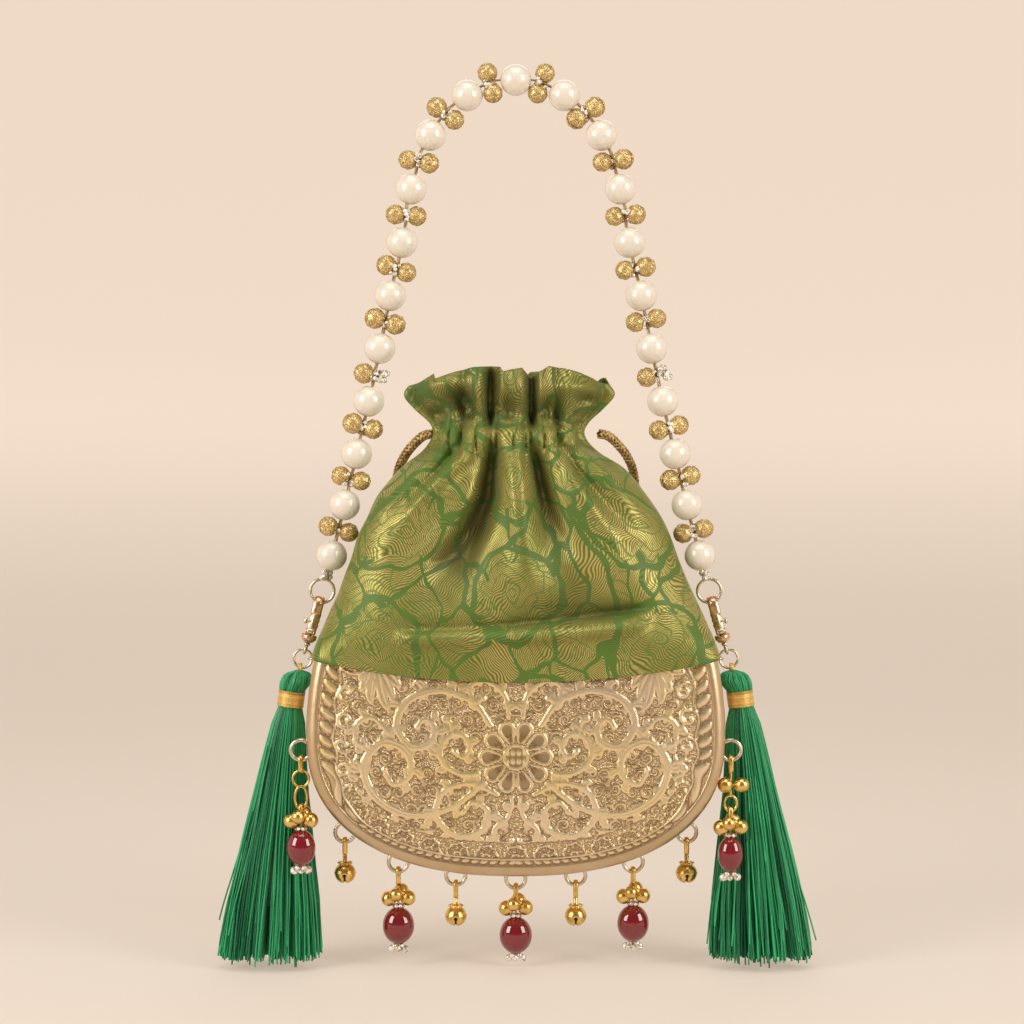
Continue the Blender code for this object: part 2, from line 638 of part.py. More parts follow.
def make_drop(name, pivot, ruby_z, half_width, half_height, ball_radius):
    x, y, pivot_z = pivot
    ruby = Vector((x, y, ruby_z))
    low = ruby_z - half_height
    loop = bail(pivot, 6.0)
    pin = rod(Vector((x, y, pivot_z - 5.6)), Vector((x, y, low - 3.0)), PIN_RADIUS)
    beads = [
        ball(Vector((x + shift, y, ruby_z + half_height + 3.3)), (ball_radius,) * 3, segments=8, rings=5)
        for shift in (-ball_radius - 0.15, ball_radius + 0.15)
    ]
    beads.append(ball(Vector((x, y, low - 2.5)), (SEED_RADIUS,) * 3, segments=8, rings=5))
    joined(f"drop_hook_{name}", "brass", [pin, loop, grouped(beads)])
    height = half_height * (1.0 - (RUBY_BORE / half_width) ** 2) ** 0.5
    lean = [radians(angle) for angle in (32, 61, 90, 119, 148)]
    outline = [(RUBY_BORE, height)]
    outline += [(half_width * sin(angle), half_height * cos(angle)) for angle in lean]
    outline += [(RUBY_BORE, -height)]
    squash = Matrix.Translation(ruby * MM) @ Matrix.Diagonal((1.0, RUBY_DEPTH, 1.0, 1.0))
    turned(f"ruby_{name}", "ruby", [outline], squash, steps=12, closed=True)


def make_bell(number, pivot):
    """A hollow little bell under a strap loop, opened by a slot across its lower half."""
    turns = [radians(angle) for angle in range(42, 181, 27)]
    outer = [(0.0, -6.0), (1.0, -6.0), (1.0, -9.0), (3.9, -9.6)]
    outer += [(BELL_RADIUS * sin(turn), BELL_CENTRE + BELL_RADIUS * 0.94 * cos(turn)) for turn in turns]
    outer[-1] = (0.0, BELL_CENTRE - BELL_RADIUS * 0.94)
    hollow = BELL_RADIUS - BELL_WALL
    inner = [(hollow * sin(radians(a)), BELL_CENTRE + hollow * 0.9 * cos(radians(a))) for a in range(180, -1, -36)]
    inner[0], inner[-1] = (0.0, inner[0][1]), (0.0, inner[-1][1])
    where = Matrix.Translation(pivot * MM)
    dome = realised(turned(f"bell_{number}", "brass", [outer, inner], where, steps=10))
    body = joined(f"bell_{number}", "brass", [dome, bail(pivot, 5.6)])
    bpy.ops.mesh.primitive_cube_add(size=1.0)
    slot = bpy.context.object
    middle = pivot + Vector((0.0, 0.0, BELL_CENTRE - 3.4))
    slot.matrix_world = Matrix.Translation(middle * MM) @ Matrix.Diagonal(Vector((0.9, 14.0, 5.0)) * MM).to_4x4()
    cutter = grouped([slot])
    cutter.name = f"bell_slot_{number}"
    add_boolean(body, "DIFFERENCE", cutter)


def chain_link(x, z, half_width, half_height, flat):
    """An oval link, seen from the front where flat is true and edge on otherwise."""
    turns = [2 * pi * step / 10 for step in range(10)]
    across = [(half_width * cos(turn), half_height * sin(turn)) for turn in turns]
    line = [Vector((a, 0.0, c) if flat else (0.0, a, c)) for a, c in across]
    place = Matrix.Translation(Vector((x, SIDE_RING_Y, z)) * MM)
    return realised(tube("link", line, 0.6, sides_level=1, cyclic=True), place)


def make_side_chain(side, label):
    """The links from a side ring down to its ruby drop, linked stiffly. The lowest link carries the drop."""
    x, pivot_z = side * SIDE_RING[0], SIDE_RING[1] - RIM_RING_MEAN
    drop_pivot = next(drop[2] for drop in SIDE_DROPS if drop[0] == label)
    loop = bail(Vector((x, SIDE_RING_Y, pivot_z)), 5.4)
    middle_z = (pivot_z - 4.6 + drop_pivot) / 2
    half = (pivot_z - 4.6 - drop_pivot) / 2
    if label == "left":
        upper = chain_link(x, middle_z + half - 3.7, 3.7, 3.7, flat=True)
        lower = chain_link(x, drop_pivot + (2 * half - 7.4) / 2, 2.8, (2 * half - 7.4) / 2 + 0.35, flat=True)
        joined("side_chain_left", "brass", [loop, upper, lower])
        return
    link = chain_link(x, drop_pivot + 3.6, 2.8, 3.6, flat=True)
    stem_top, stem_low = Vector((x, SIDE_RING_Y, pivot_z - 4.8)), Vector((x, SIDE_RING_Y, drop_pivot + 6.9))
    stem = rod(stem_top, stem_low, 0.7)
    beads = [ball(Vector((x + shift, SIDE_RING_Y, -314.2)), (3.5,) * 3, 8, 5) for shift in (-2.4, 4.9)]
    collar = rod(Vector((x - 1.0, SIDE_RING_Y, -314.2)), Vector((x + 3.0, SIDE_RING_Y, -314.2)), 0.7)
    joined("side_chain_right", "brass", [loop, stem, link, grouped(beads), collar])


# ---------------------------------------------------------------- assembly

clear_scene()
make_materials()
BAG = new_collection("potli_bag", hidden=False)
HELPERS = new_collection("joins_and_cutters", hidden=True)

pearl_places = strand_places()
pearl_directions = strand_directions(pearl_places)
make_pearls(pearl_places, pearl_directions)
make_ghungroo_cord(pearl_places, pearl_directions)
make_side_band()
make_panel("shell_front", -1)
make_panel("shell_back", 1)
make_pouch()
make_lining()
for side, label in ((-1, "left"), (1, "right")):
    make_clasp(side, label)
    make_rings(side, label)
    make_drawcord(side, label)
    make_tassel(side, label)
    make_side_chain(side, label)
for name, side, ring_name, *sizes in DROPS:
    make_drop(name, below_ring(rim_ring(ring_name, side)), *sizes)
for name, side, pivot_height, *sizes in SIDE_DROPS:
    make_drop(name, Vector((SIDE_RING[0] * side, SIDE_RING_Y, pivot_height)), *sizes)
for number, (ring_name, side) in enumerate(BELLS, start=1):
    make_bell(number, below_ring(rim_ring(ring_name, side)))
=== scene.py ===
"""Looks of the potli bag: a brocade pouch on an embossed metal shell, with a pearl and ghungroo handle.

Lengths are written in millimetres and scaled by MM when a mesh is made. +Z is up and the front faces -Y.
"""

import json
from math import atan2, cos, pi, radians, sin, sqrt

import bmesh
import bpy
import numpy as np
from mathutils import Matrix, Vector


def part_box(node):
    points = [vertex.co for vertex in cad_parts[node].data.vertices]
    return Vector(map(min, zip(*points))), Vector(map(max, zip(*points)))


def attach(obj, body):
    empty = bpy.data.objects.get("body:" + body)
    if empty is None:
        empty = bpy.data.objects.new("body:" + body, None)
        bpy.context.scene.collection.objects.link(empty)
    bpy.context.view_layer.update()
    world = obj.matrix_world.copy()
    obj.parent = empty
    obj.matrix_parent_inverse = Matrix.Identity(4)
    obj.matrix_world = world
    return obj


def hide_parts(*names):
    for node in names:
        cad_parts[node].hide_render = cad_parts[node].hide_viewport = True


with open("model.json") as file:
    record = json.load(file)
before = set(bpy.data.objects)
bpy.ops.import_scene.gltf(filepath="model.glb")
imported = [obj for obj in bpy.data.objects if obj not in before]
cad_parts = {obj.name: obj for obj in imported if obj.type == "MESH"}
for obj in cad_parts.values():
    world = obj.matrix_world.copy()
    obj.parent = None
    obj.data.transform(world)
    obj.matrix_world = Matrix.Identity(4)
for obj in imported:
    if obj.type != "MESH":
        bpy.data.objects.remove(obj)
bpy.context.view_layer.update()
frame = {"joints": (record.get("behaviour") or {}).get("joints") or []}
MM = 0.001
SIDES = (("left", -1), ("right", 1))


def node_box(name):
    """The lowest and highest corner of a CAD node, in millimetres."""
    low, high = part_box(name)
    return np.array(low) / MM, np.array(high) / MM


def node_centre(name):
    low, high = node_box(name)
    return (low + high) / 2


def pivot_of(joint):
    """The point that a joint turns about, in millimetres."""
    found = next(row for row in frame["joints"] if row["name"] == joint)
    return np.array(found["pos_m"]) / MM


# ---------------------------------------------------------------- camera, light and backdrop

LOOK_AT = Vector((-1.7, 0.0, -193.3)) * MM
CAMERA_FAR, CAMERA_RISE, LENS = 1.088, radians(2.0), 85.0
FLOOR_Z, FLOOR_FLAT, FLOOR_REACH, FLOOR_CURVE = -0.3995, 0.9, 3.4, 2.4


def make_camera():
    data = bpy.data.cameras.new("front_camera")
    data.lens = LENS
    data.sensor_width = 36.0
    camera = bpy.data.objects.new("front_camera", data)
    camera.location = LOOK_AT + Vector((0.0, -cos(CAMERA_RISE), sin(CAMERA_RISE))) * CAMERA_FAR
    camera.rotation_euler = (pi / 2 - CAMERA_RISE, 0.0, 0.0)
    bpy.context.scene.collection.objects.link(camera)
    bpy.context.scene.camera = camera


def add_light(name, azimuth, rise, far, size, power, colour):
    """A soft rectangular lamp aimed at the bag. Azimuth 0 is in front, 90 degrees is at +X."""
    turn, lift = radians(azimuth), radians(rise)
    away = Vector((sin(turn) * cos(lift), -cos(turn) * cos(lift), sin(lift)))
    data = bpy.data.lights.new(name, "AREA")
    data.shape = "RECTANGLE"
    data.size, data.size_y = size
    data.energy = power
    data.color = colour
    lamp = bpy.data.objects.new(name, data)
    lamp.location = LOOK_AT + away * far
    lamp.rotation_euler = away.to_track_quat("Z", "Y").to_euler()
    bpy.context.scene.collection.objects.link(lamp)


def make_lights():
    warm = (1.0, 0.965, 0.91)
    add_light("left_softbox", -54, 17, 1.25, (0.55, 0.75), 10.5, warm)
    add_light("right_softbox", 54, 17, 1.25, (0.55, 0.75), 9.5, warm)
    add_light("top_softbox", 0, 72, 1.5, (1.1, 0.9), 9.0, (1.0, 0.975, 0.94))
    add_light("back_softbox", 180, 40, 1.8, (1.6, 0.8), 5.0, warm)
    world = bpy.data.worlds.new("studio")
    world.use_nodes = True
    backdrop = world.node_tree.nodes["Background"]
    backdrop.inputs["Color"].default_value = (0.86, 0.765, 0.665, 1.0)
    backdrop.inputs["Strength"].default_value = 0.3
    scene = bpy.context.scene
    scene.world = world
    scene.view_settings.view_transform = "Standard"
    scene.view_settings.look = "None"


def make_backdrop():
    """A flat pale floor that curves up all round, so that it meets the world's colour without an edge."""
    rings, around = 26, 96
    profile = [(0.0, 0.0), (FLOOR_FLAT, 0.0)]
    for step in range(1, rings + 1):
        turn = pi / 2 * step / rings
        profile.append((FLOOR_FLAT + (FLOOR_REACH - FLOOR_FLAT) * sin(turn), FLOOR_CURVE * (1 - cos(turn))))
    surface = bmesh.new()
    rows = []
    for radius, height in profile[1:]:
        turns = [2 * pi * step / around for step in range(around)]
        rows.append([surface.verts.new((radius * cos(a), radius * sin(a), FLOOR_Z + height)) for a in turns])
    surface.faces.new(rows[0])
    for low, high in zip(rows, rows[1:]):
        for i in range(around):
            j = (i + 1) % around
            surface.faces.new((low[j], low[i], high[i], high[j]))
    mesh = bpy.data.meshes.new("backdrop")
    surface.to_mesh(mesh)
    surface.free()
    mesh.shade_smooth()
    backdrop = bpy.data.objects.new("backdrop", mesh)
    bpy.context.scene.collection.objects.link(backdrop)
    paper = Finish("paper_with_painted_glow", {"Roughness": 0.9, "Specular IOR Level": 0.1, "Emission Strength": 1.0})
    _, depth, height = paper.split(paper.place())
    # The paper glows by its own emission, more strongly higher up: painted light on the backdrop that also lights the
    # bag. In front of the bag it is darker and glows only dimly.
    before = depth.rise(-0.5, -1.0)
    paper.feed("Base Color", paper.blend(before, (0.38, 0.35, 0.32), (0.20, 0.18, 0.16)))
    painted_glow = paper.blend(height.rise(-0.40, -0.12), (0.40, 0.325, 0.26), (0.66, 0.54, 0.435))
    paper.feed("Emission Color", paper.blend(before, painted_glow, (0.12, 0.105, 0.09)))
    backdrop.data.materials.append(paper.material)


# ---------------------------------------------------------------- shader arithmetic


class Field:
    """A number that varies over a surface. Arithmetic on it adds Math nodes to its finish."""

    def __init__(self, finish, socket):
        self.finish = finish
        self.socket = socket

    def math(self, operation, *others):
        inputs = {number: value for number, value in enumerate((self, *others))}
        return self.finish.node("ShaderNodeMath", {"operation": operation}, inputs)

    def __add__(self, other):
        return self.math("ADD", other)

    __radd__ = __add__

    def __mul__(self, other):
        return self.math("MULTIPLY", other)

    __rmul__ = __mul__

    def __sub__(self, other):
        return self.math("SUBTRACT", other)

    def __rsub__(self, other):
        return self.finish.node("ShaderNodeMath", {"operation": "SUBTRACT"}, {0: other, 1: self})

    def __truediv__(self, other):
        return self.math("DIVIDE", other)

    def __pow__(self, other):
        return self.math("POWER", other)

    def sin(self):
        return self.math("SINE")

    def abs(self):
        return self.math("ABSOLUTE")

    def least(self, other):
        return self.math("MINIMUM", other)

    def most(self, other):
        return self.math("MAXIMUM", other)

    def wrapped(self, period):
        """The distance to the nearest multiple of period, with its sign."""
        return self.math("WRAP", period / 2, -period / 2)

    def rise(self, low, high):
        """0 below low, 1 above high and smooth between. With low over high it falls instead."""
        settings = {"interpolation_type": "SMOOTHSTEP"}
        if low < high:
            return self.finish.node("ShaderNodeMapRange", settings, {0: self, 1: low, 2: high, 3: 0.0, 4: 1.0})
        return self.finish.node("ShaderNodeMapRange", settings, {0: self, 1: high, 2: low, 3: 1.0, 4: 0.0})


class Finish:
    """A material: one Principled shader and the nodes that feed it."""

    def __init__(self, name, constants=()):
        self.material = bpy.data.materials.new(name)
        self.material.use_nodes = True
        self.tree = self.material.node_tree
        self.shader = self.tree.nodes["Principled BSDF"]
        for socket, value in dict(constants).items():
            if isinstance(value, tuple):
                value = (*value, 1.0)
            self.shader.inputs[socket].default_value = value

    def node(self, kind, settings=(), inputs=(), output=0):
        """Adds a node: its settings first, then a value or a link for each socket."""
        made = self.tree.nodes.new(kind)
        for key, value in dict(settings).items():
            if key == "stops":
                self.set_stops(made, value)
            else:
                setattr(made, key, value)
        for key, value in dict(inputs).items():
            if isinstance(value, Field):
                self.tree.links.new(value.socket, made.inputs[key])
            elif isinstance(value, tuple) and made.inputs[key].type == "RGBA":
                made.inputs[key].default_value = (*value, 1.0)
            else:
                made.inputs[key].default_value = value
        return Field(self, made.outputs[output])

    @staticmethod
    def set_stops(ramp_node, stops):
        stretch = ramp_node.color_ramp.elements
        while len(stretch) < len(stops):
            stretch.new(0.5)
        for element, (position, colour) in zip(stretch, stops):
            element.position = position
            element.color = (*colour, 1.0)

    def feed(self, socket, value):
        self.tree.links.new(value.socket, self.shader.inputs[socket])

    def place(self):
        """Object coordinates, in metres."""
        return self.node("ShaderNodeTexCoord", output="Object")

    def split(self, vector):
        parts = self.node("ShaderNodeSeparateXYZ", inputs={0: vector}).socket.node
        return [Field(self, parts.outputs[axis]) for axis in range(3)]

    def attribute(self, name, output="Fac"):
        return self.node("ShaderNodeAttribute", {"attribute_name": name}, output=output)

    def noise(self, per_metre, detail=3.0, roughness=0.55, vector=None, output="Fac"):
        inputs = {"Vector": vector or self.place(), "Scale": per_metre, "Detail": detail, "Roughness": roughness}
        return self.node("ShaderNodeTexNoise", inputs=inputs, output=output)

    def cells(self, per_metre, feature="F1", output="Distance", vector=None, randomness=1.0):
        inputs = {"Vector": vector or self.place(), "Scale": per_metre, "Randomness": randomness}
        return self.node("ShaderNodeTexVoronoi", {"feature": feature}, inputs, output)

    def blend(self, factor, first, second):
        """A colour from first to second."""
        return self.node("ShaderNodeMix", {"data_type": "RGBA"}, {"Factor": factor, 6: first, 7: second}, output=2)

    def ramp(self, value, *stops):
        return self.node("ShaderNodeValToRGB", {"stops": stops}, {0: value})

    def bump(self, height, depth_mm, strength=1.0):
        """Feeds Normal from a height of 0 to 1 that stands depth_mm high."""
        inputs = {"Height": height, "Strength": strength, "Distance": depth_mm * MM}
        self.feed("Normal", self.node("ShaderNodeBump", inputs=inputs, output="Normal"))


# ---------------------------------------------------------------- finishes


def pearl_finish():
    finish = Finish("nacre", {"Coat Weight": 0.9, "Coat Roughness": 0.12, "Specular IOR Level": 0.6})
    finish.shader.inputs["Subsurface Weight"].default_value = 0.04
    finish.shader.inputs["Subsurface Scale"].default_value = 0.002
    bloom = finish.noise(260.0, 3)
    edge = finish.node("ShaderNodeLayerWeight", inputs={"Blend": 0.42}, output="Facing")
    body = finish.blend(bloom, (0.70, 0.62, 0.51), (0.80, 0.73, 0.63))
    # Toward the silhouette the colour darkens to brown: painted shade at the pearl's edge.
    finish.feed("Base Color", finish.blend(edge.rise(0.45, 1.0), body, (0.52, 0.42, 0.30)))
    finish.feed("Roughness", bloom * 0.12 + 0.26)
    finish.bump(finish.noise(1400.0, 2), 0.02)
    return finish.material


def leafed_gold_finish():
    """Ghungroo bells: crinkled pale gold leaf over brass, darker in its cracks."""
    finish = Finish("crinkled_gold_leaf", {"Metallic": 0.82})
    flakes = finish.cells(1150.0)
    crack = finish.cells(950.0, "DISTANCE_TO_EDGE").rise(0.02, 0.16)
    patches = finish.noise(420.0, 4, 0.65)
    leaf = finish.blend(flakes.rise(0.1, 0.7), (0.95, 0.80, 0.42), (0.78, 0.57, 0.24))
    worn = finish.blend(patches.rise(0.46, 0.66), leaf, (0.60, 0.40, 0.16))
    # Down the slit the colour is painted nearly black: painted shade in the opening.
    shade = finish.attribute("groove")
    cracked = finish.blend(crack, (0.42, 0.27, 0.10), worn)
    finish.feed("Base Color", finish.blend(shade, cracked, (0.06, 0.03, 0.012)))
    finish.feed("Roughness", patches * 0.22 + 0.26)
    finish.bump(crack * 0.6 + flakes * 0.5 + patches * 0.4, 0.22, 0.9)
    return finish.material


def metal_finish(name, light, dark, roughness, mark_size=900.0, wear=0.5, bump=0.03):
    """A worn cast or drawn metal: colour patches, darker spots and fine marks."""
    finish = Finish(name, {"Metallic": 1.0})
    patches = finish.noise(160.0, 4, 0.6)
    marks = finish.noise(mark_size, 3, 0.6)
    tint = finish.blend(patches.rise(0.35, 0.7), light, tuple(0.86 * c for c in light))
    finish.feed("Base Color", finish.blend(marks.rise(0.5, 0.75) * wear, tint, dark))
    finish.feed("Roughness", marks * 0.2 + (roughness - 0.08))
    finish.bump(marks, bump)
    return finish.material


def glass_finish(name, core, rim, sheen):
    finish = Finish(name, {"Roughness": 0.06, "Coat Weight": 1.0, "Coat Roughness": 0.03})
    finish.shader.inputs["Specular IOR Level"].default_value = sheen
    finish.shader.inputs["Subsurface Weight"].default_value = 0.08
    finish.shader.inputs["Subsurface Scale"].default_value = 0.002
    edge = finish.node("ShaderNodeLayerWeight", inputs={"Blend": 0.35}, output="Facing")
    cloud = finish.noise(240.0, 3)
    # The colour darkens from core face-on to rim toward the silhouette: painted shade at the edges of the bead.
    colour = finish.blend(edge.rise(0.25, 0.95), core, rim)
    finish.feed("Base Color", finish.blend(cloud.rise(0.4, 0.75) * 0.35, colour, tuple(1.5 * c for c in core)))
    return finish.material


def crystal_finish():
    """Clear glass seeds, foiled inside. Their glitter is painted into the base colour as a speckle of pale gold cells
    and dark specks.
    """
    finish = Finish("crystal_painted_glitter", {"Roughness": 0.07, "Metallic": 0.35, "Coat Weight": 1.0})
    # A random speckle of pale and dark cells: painted glints and painted dark reflections.
    painted_glint_cells = finish.cells(900.0, output="Color")
    tone = finish.node("ShaderNodeRGBToBW", inputs={0: painted_glint_cells})
    finish.feed(
        "Base Color",
        finish.ramp(tone, (0.0, (0.20, 0.14, 0.09)), (0.35, (0.62, 0.53, 0.42)), (0.7, (0.93, 0.89, 0.82))),
    )
    finish.bump(finish.cells(1300.0), 0.15, 0.7)
    return finish.material


def thread_finish(name, light, mid, dark):
    """Silk or metal thread. The thread_tone attribute gives each thread its own shade."""
    finish = Finish(name, {"Roughness": 0.42, "Sheen Weight": 0.25, "Sheen Roughness": 0.4})
    tone = finish.attribute("thread_tone")
    slub = finish.noise(700.0, 2)
    mix = finish.ramp(tone * 0.8 + slub * 0.25, (0.12, dark), (0.5, mid), (0.95, light))
    finish.feed("Base Color", mix)
    finish.bump(finish.noise(2600.0, 2), 0.05, 0.6)
    return finish.material


def braid_finish():
    finish = Finish("antique_gold_braid", {"Metallic": 0.35, "Roughness": 0.42})
    tone = finish.attribute("thread_tone")
    grain = finish.noise(1500.0, 3)
    colour = finish.ramp(
        tone * 0.7 + grain * 0.3, (0.1, (0.045, 0.025, 0.01)), (0.45, (0.27, 0.16, 0.05)), (0.85, (0.62, 0.43, 0.17))
    )
    finish.feed("Base Color", colour)
    finish.bump(grain, 0.12, 0.8)
    return finish.material


def lining_finish():
    finish = Finish("olive_lining", {"Roughness": 0.8, "Sheen Weight": 0.2})
    weave = finish.node(
        "ShaderNodeTexWave", {"bands_direction": "Z"}, {"Vector": finish.place(), "Scale": 420.0, "Distortion": 1.0}
    )
    finish.feed("Base Color", finish.blend(weave, (0.10, 0.13, 0.035), (0.19, 0.23, 0.07)))
    finish.bump(weave, 0.1)
    return finish.material


# ---------------------------------------------------------------- shapes


def unit(vector):
    return vector / np.linalg.norm(vector)


def rotation_to(direction):
    """A 3 by 3 turn that takes +Z to direction and keeps local Y level where it can."""
    z = unit(np.asarray(direction, float))
    guide = np.array((0.0, 1.0, 0.0)) if abs(z[1]) < 0.9 else np.array((1.0, 0.0, 0.0))
    x = unit(np.cross(guide, z))
    return np.column_stack((x, np.cross(z, x), z))


class Shape:
    """Points in millimetres and faces, with values for attributes, gathered for one mesh."""

    def __init__(self):
        self.points, self.faces, self.values, self.count = [], [], [], 0

    def add(self, points, faces, value=0.0):
        points = np.asarray(points, float).reshape(-1, 3)
        self.points.append(points)
        self.faces.append([tuple(int(i) + self.count for i in face) for face in faces])
        self.values.append(np.broadcast_to(np.asarray(value, float), (len(points),)))
        self.count += len(points)
        return self

    def add_shape(self, other, turn=None, shift=(0.0, 0.0, 0.0), scale=1.0):
        turn = np.eye(3) if turn is None else turn
        scale = np.asarray(scale, float)
        for points, faces, value in zip(other.points, other.faces, other.values):
            self.points.append((points * scale) @ turn.T + np.asarray(shift, float))
            self.faces.append([tuple(i + self.count for i in face) for face in faces])
            self.values.append(value)
        self.count += other.count
        return self

    def mesh(self, name, attribute=None):
        made = bpy.data.meshes.new(name)
        made.from_pydata(np.concatenate(self.points) * MM, [], [f for rows in self.faces for f in rows])
        if attribute:
            layer = made.attributes.new(attribute, "FLOAT", "POINT")
            layer.data.foreach_set("value", np.concatenate(self.values).astype(np.float32))
        made.shade_smooth()
        return made


def grid_faces(rows, columns, closed=False, first=0):
    """Quads of a grid of rows by columns points. Closed joins the last column to the first."""
    wide = columns if closed else columns - 1
    faces = []
    for i in range(rows - 1):
        low, high = first + i * columns, first + (i + 1) * columns
        for j in range(wide):
            k = (j + 1) % columns
            faces.append((low + j, low + k, high + k, high + j))
    return faces


def turned(profile, steps=32):
    """A lathed shape about Z. The profile (radius, z) runs down its outer side. Radius 0 closes it at a pole."""
    shape = Shape()
    turns = 2 * pi * np.arange(steps) / steps
    points, rows = [], []
    for radius, height in profile:
        first = len(points)
        if radius < 1e-9:
            points.append((0.0, 0.0, height))
            rows.append([first] * steps)
        else:
            points += [(radius * cos(a), radius * sin(a), height) for a in turns]
            rows.append(list(range(first, first + steps)))
    faces = []
    for high, low in zip(rows, rows[1:]):
        for i in range(steps):
            j = (i + 1) % steps
            corners = list(dict.fromkeys((low[i], low[j], high[j], high[i])))
            if len(corners) > 2:
                faces.append(tuple(corners))
    return shape.add(points, faces)


def rounded(radius, half_height=None, bore=0.0, steps=24, rings=16):
    """A ball or a bead, with a bore along Z if it is strung."""
    half_height = half_height or radius
    start = np.arcsin(bore / radius) if bore else 0.0
    leans = np.linspace(start, pi - start, rings + 1)
    profile = [(radius * sin(a), half_height * cos(a)) for a in leans]
    if bore:
        profile.append(profile[0])
    else:
        profile[0], profile[-1] = (0.0, half_height), (0.0, -half_height)
    return turned(profile, steps)


def wire(line, radii, sides=12, closed=False, broad=1.0, value=0.0):
    """A round wire along a line, with hemispherical ends. Broad widens it along X."""
    line = np.asarray(line, float)
    count = len(line)
    radii = np.broadcast_to(np.asarray(radii, float), (count,))
    if closed:
        along = np.roll(line, -1, 0) - np.roll(line, 1, 0)
    else:
        along = np.gradient(line, axis=0)
    along /= np.linalg.norm(along, axis=1)[:, None]
    side = np.cross(along[0], (0.0, 1.0, 0.0) if abs(along[0][1]) < 0.9 else (1.0, 0.0, 0.0))
    side = unit(side)
    turns = 2 * pi * np.arange(sides) / sides
    rows = []
    for i in range(count):
        side = unit(side - along[i] * (side @ along[i]))
        up = np.cross(along[i], side)
        circle = np.outer(np.cos(turns), side) + np.outer(np.sin(turns), up)
        rows.append((line[i], circle, radii[i], along[i]))
    rings = [(centre + circle * radius) for centre, circle, radius, _ in rows]
    if not closed:
        for lean in (30, 60, 80):
            out, small = sin(radians(lean)), cos(radians(lean))
            centre, circle, radius, forward = rows[0]
            rings.insert(0, centre - forward * radius * out + circle * radius * small)
            centre, circle, radius, forward = rows[-1]
            rings.append(centre + forward * radius * out + circle * radius * small)
    points = np.concatenate(rings)
    if broad != 1.0:
        middle = line[:, 0].mean()
        points[:, 0] = middle + (points[:, 0] - middle) * broad
    faces = grid_faces(len(rings), sides, closed=True)
    if closed:
        last = (len(rings) - 1) * sides
        faces += [(last + j, last + (j + 1) % sides, (j + 1) % sides, j) for j in range(sides)]
    else:
        faces.append(tuple(reversed(range(sides))))
        last = (len(rings) - 1) * sides
        faces.append(tuple(range(last, last + sides)))
    return Shape().add(points, faces, value)


def ring(centre, axis, mean, gauge, around=48, sides=14):
    """A round ring of wire whose axis is axis."""
    turns = 2 * pi * np.arange(around) / around
    flat = np.column_stack((mean * np.cos(turns), mean * np.sin(turns), np.zeros(around)))
    return wire(flat @ rotation_to(axis).T + np.asarray(centre, float), gauge, sides, closed=True)


def smooth_line(points, count, closed=False):
    """Evenly stepped points on a Catmull-Rom curve through the given ones."""
    points = np.asarray(points, float)
    if closed:
        ends = np.vstack((points[-1:], points, points[:2]))
        spans = len(points)
    else:
        ends = np.vstack((2 * points[:1] - points[1:2], points, 2 * points[-1:] - points[-2:-1]))
        spans = len(points) - 1
    at = np.minimum(spans * np.arange(count + (not closed)) / count, spans - 1e-9)
    span = at.astype(int)
    t = (at - span)[:, None]
    a, b, c, d = (ends[span + k] for k in range(4))
    return 0.5 * (2 * b + (c - a) * t + (2 * a - 5 * b + 4 * c - d) * t**2 + (3 * b - a - 3 * c + d) * t**3)


def outward(mesh):
    """Merges doubles and points every face outwards."""
    shell = bmesh.new()
    shell.from_mesh(mesh)
    bmesh.ops.remove_doubles(shell, verts=shell.verts, dist=1e-7)
    bmesh.ops.recalc_face_normals(shell, faces=shell.faces)
    shell.to_mesh(mesh)
    shell.free()
    mesh.shade_smooth()
    return mesh


def piece(name, mesh, material, body, replaced=(), sharp=None):
    """Puts a finished mesh in the scene, riding on its body and standing for CAD nodes."""
    made = bpy.data.objects.new(name, mesh)
    bpy.context.scene.collection.objects.link(made)
    if material:
        mesh.materials.clear()
        mesh.materials.append(material)
    if sharp:
        mesh.set_sharp_from_angle(angle=radians(sharp))
    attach(made, body)
    if replaced:
        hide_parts(*replaced)
    return made


# ---------------------------------------------------------------- geometry node trees


def tree_with(name, inputs):
    """An empty node tree with a Geometry input, the named inputs and a Geometry output."""
    tree = bpy.data.node_groups.new(name, "GeometryNodeTree")
    tree.interface.new_socket("Geometry", in_out="INPUT", socket_type="NodeSocketGeometry")
    for label, kind in inputs:
        tree.interface.new_socket(label, in_out="INPUT", socket_type=kind)
    tree.interface.new_socket("Geometry", in_out="OUTPUT", socket_type="NodeSocketGeometry")
    return tree, tree.nodes.new("NodeGroupInput"), tree.nodes.new("NodeGroupOutput")


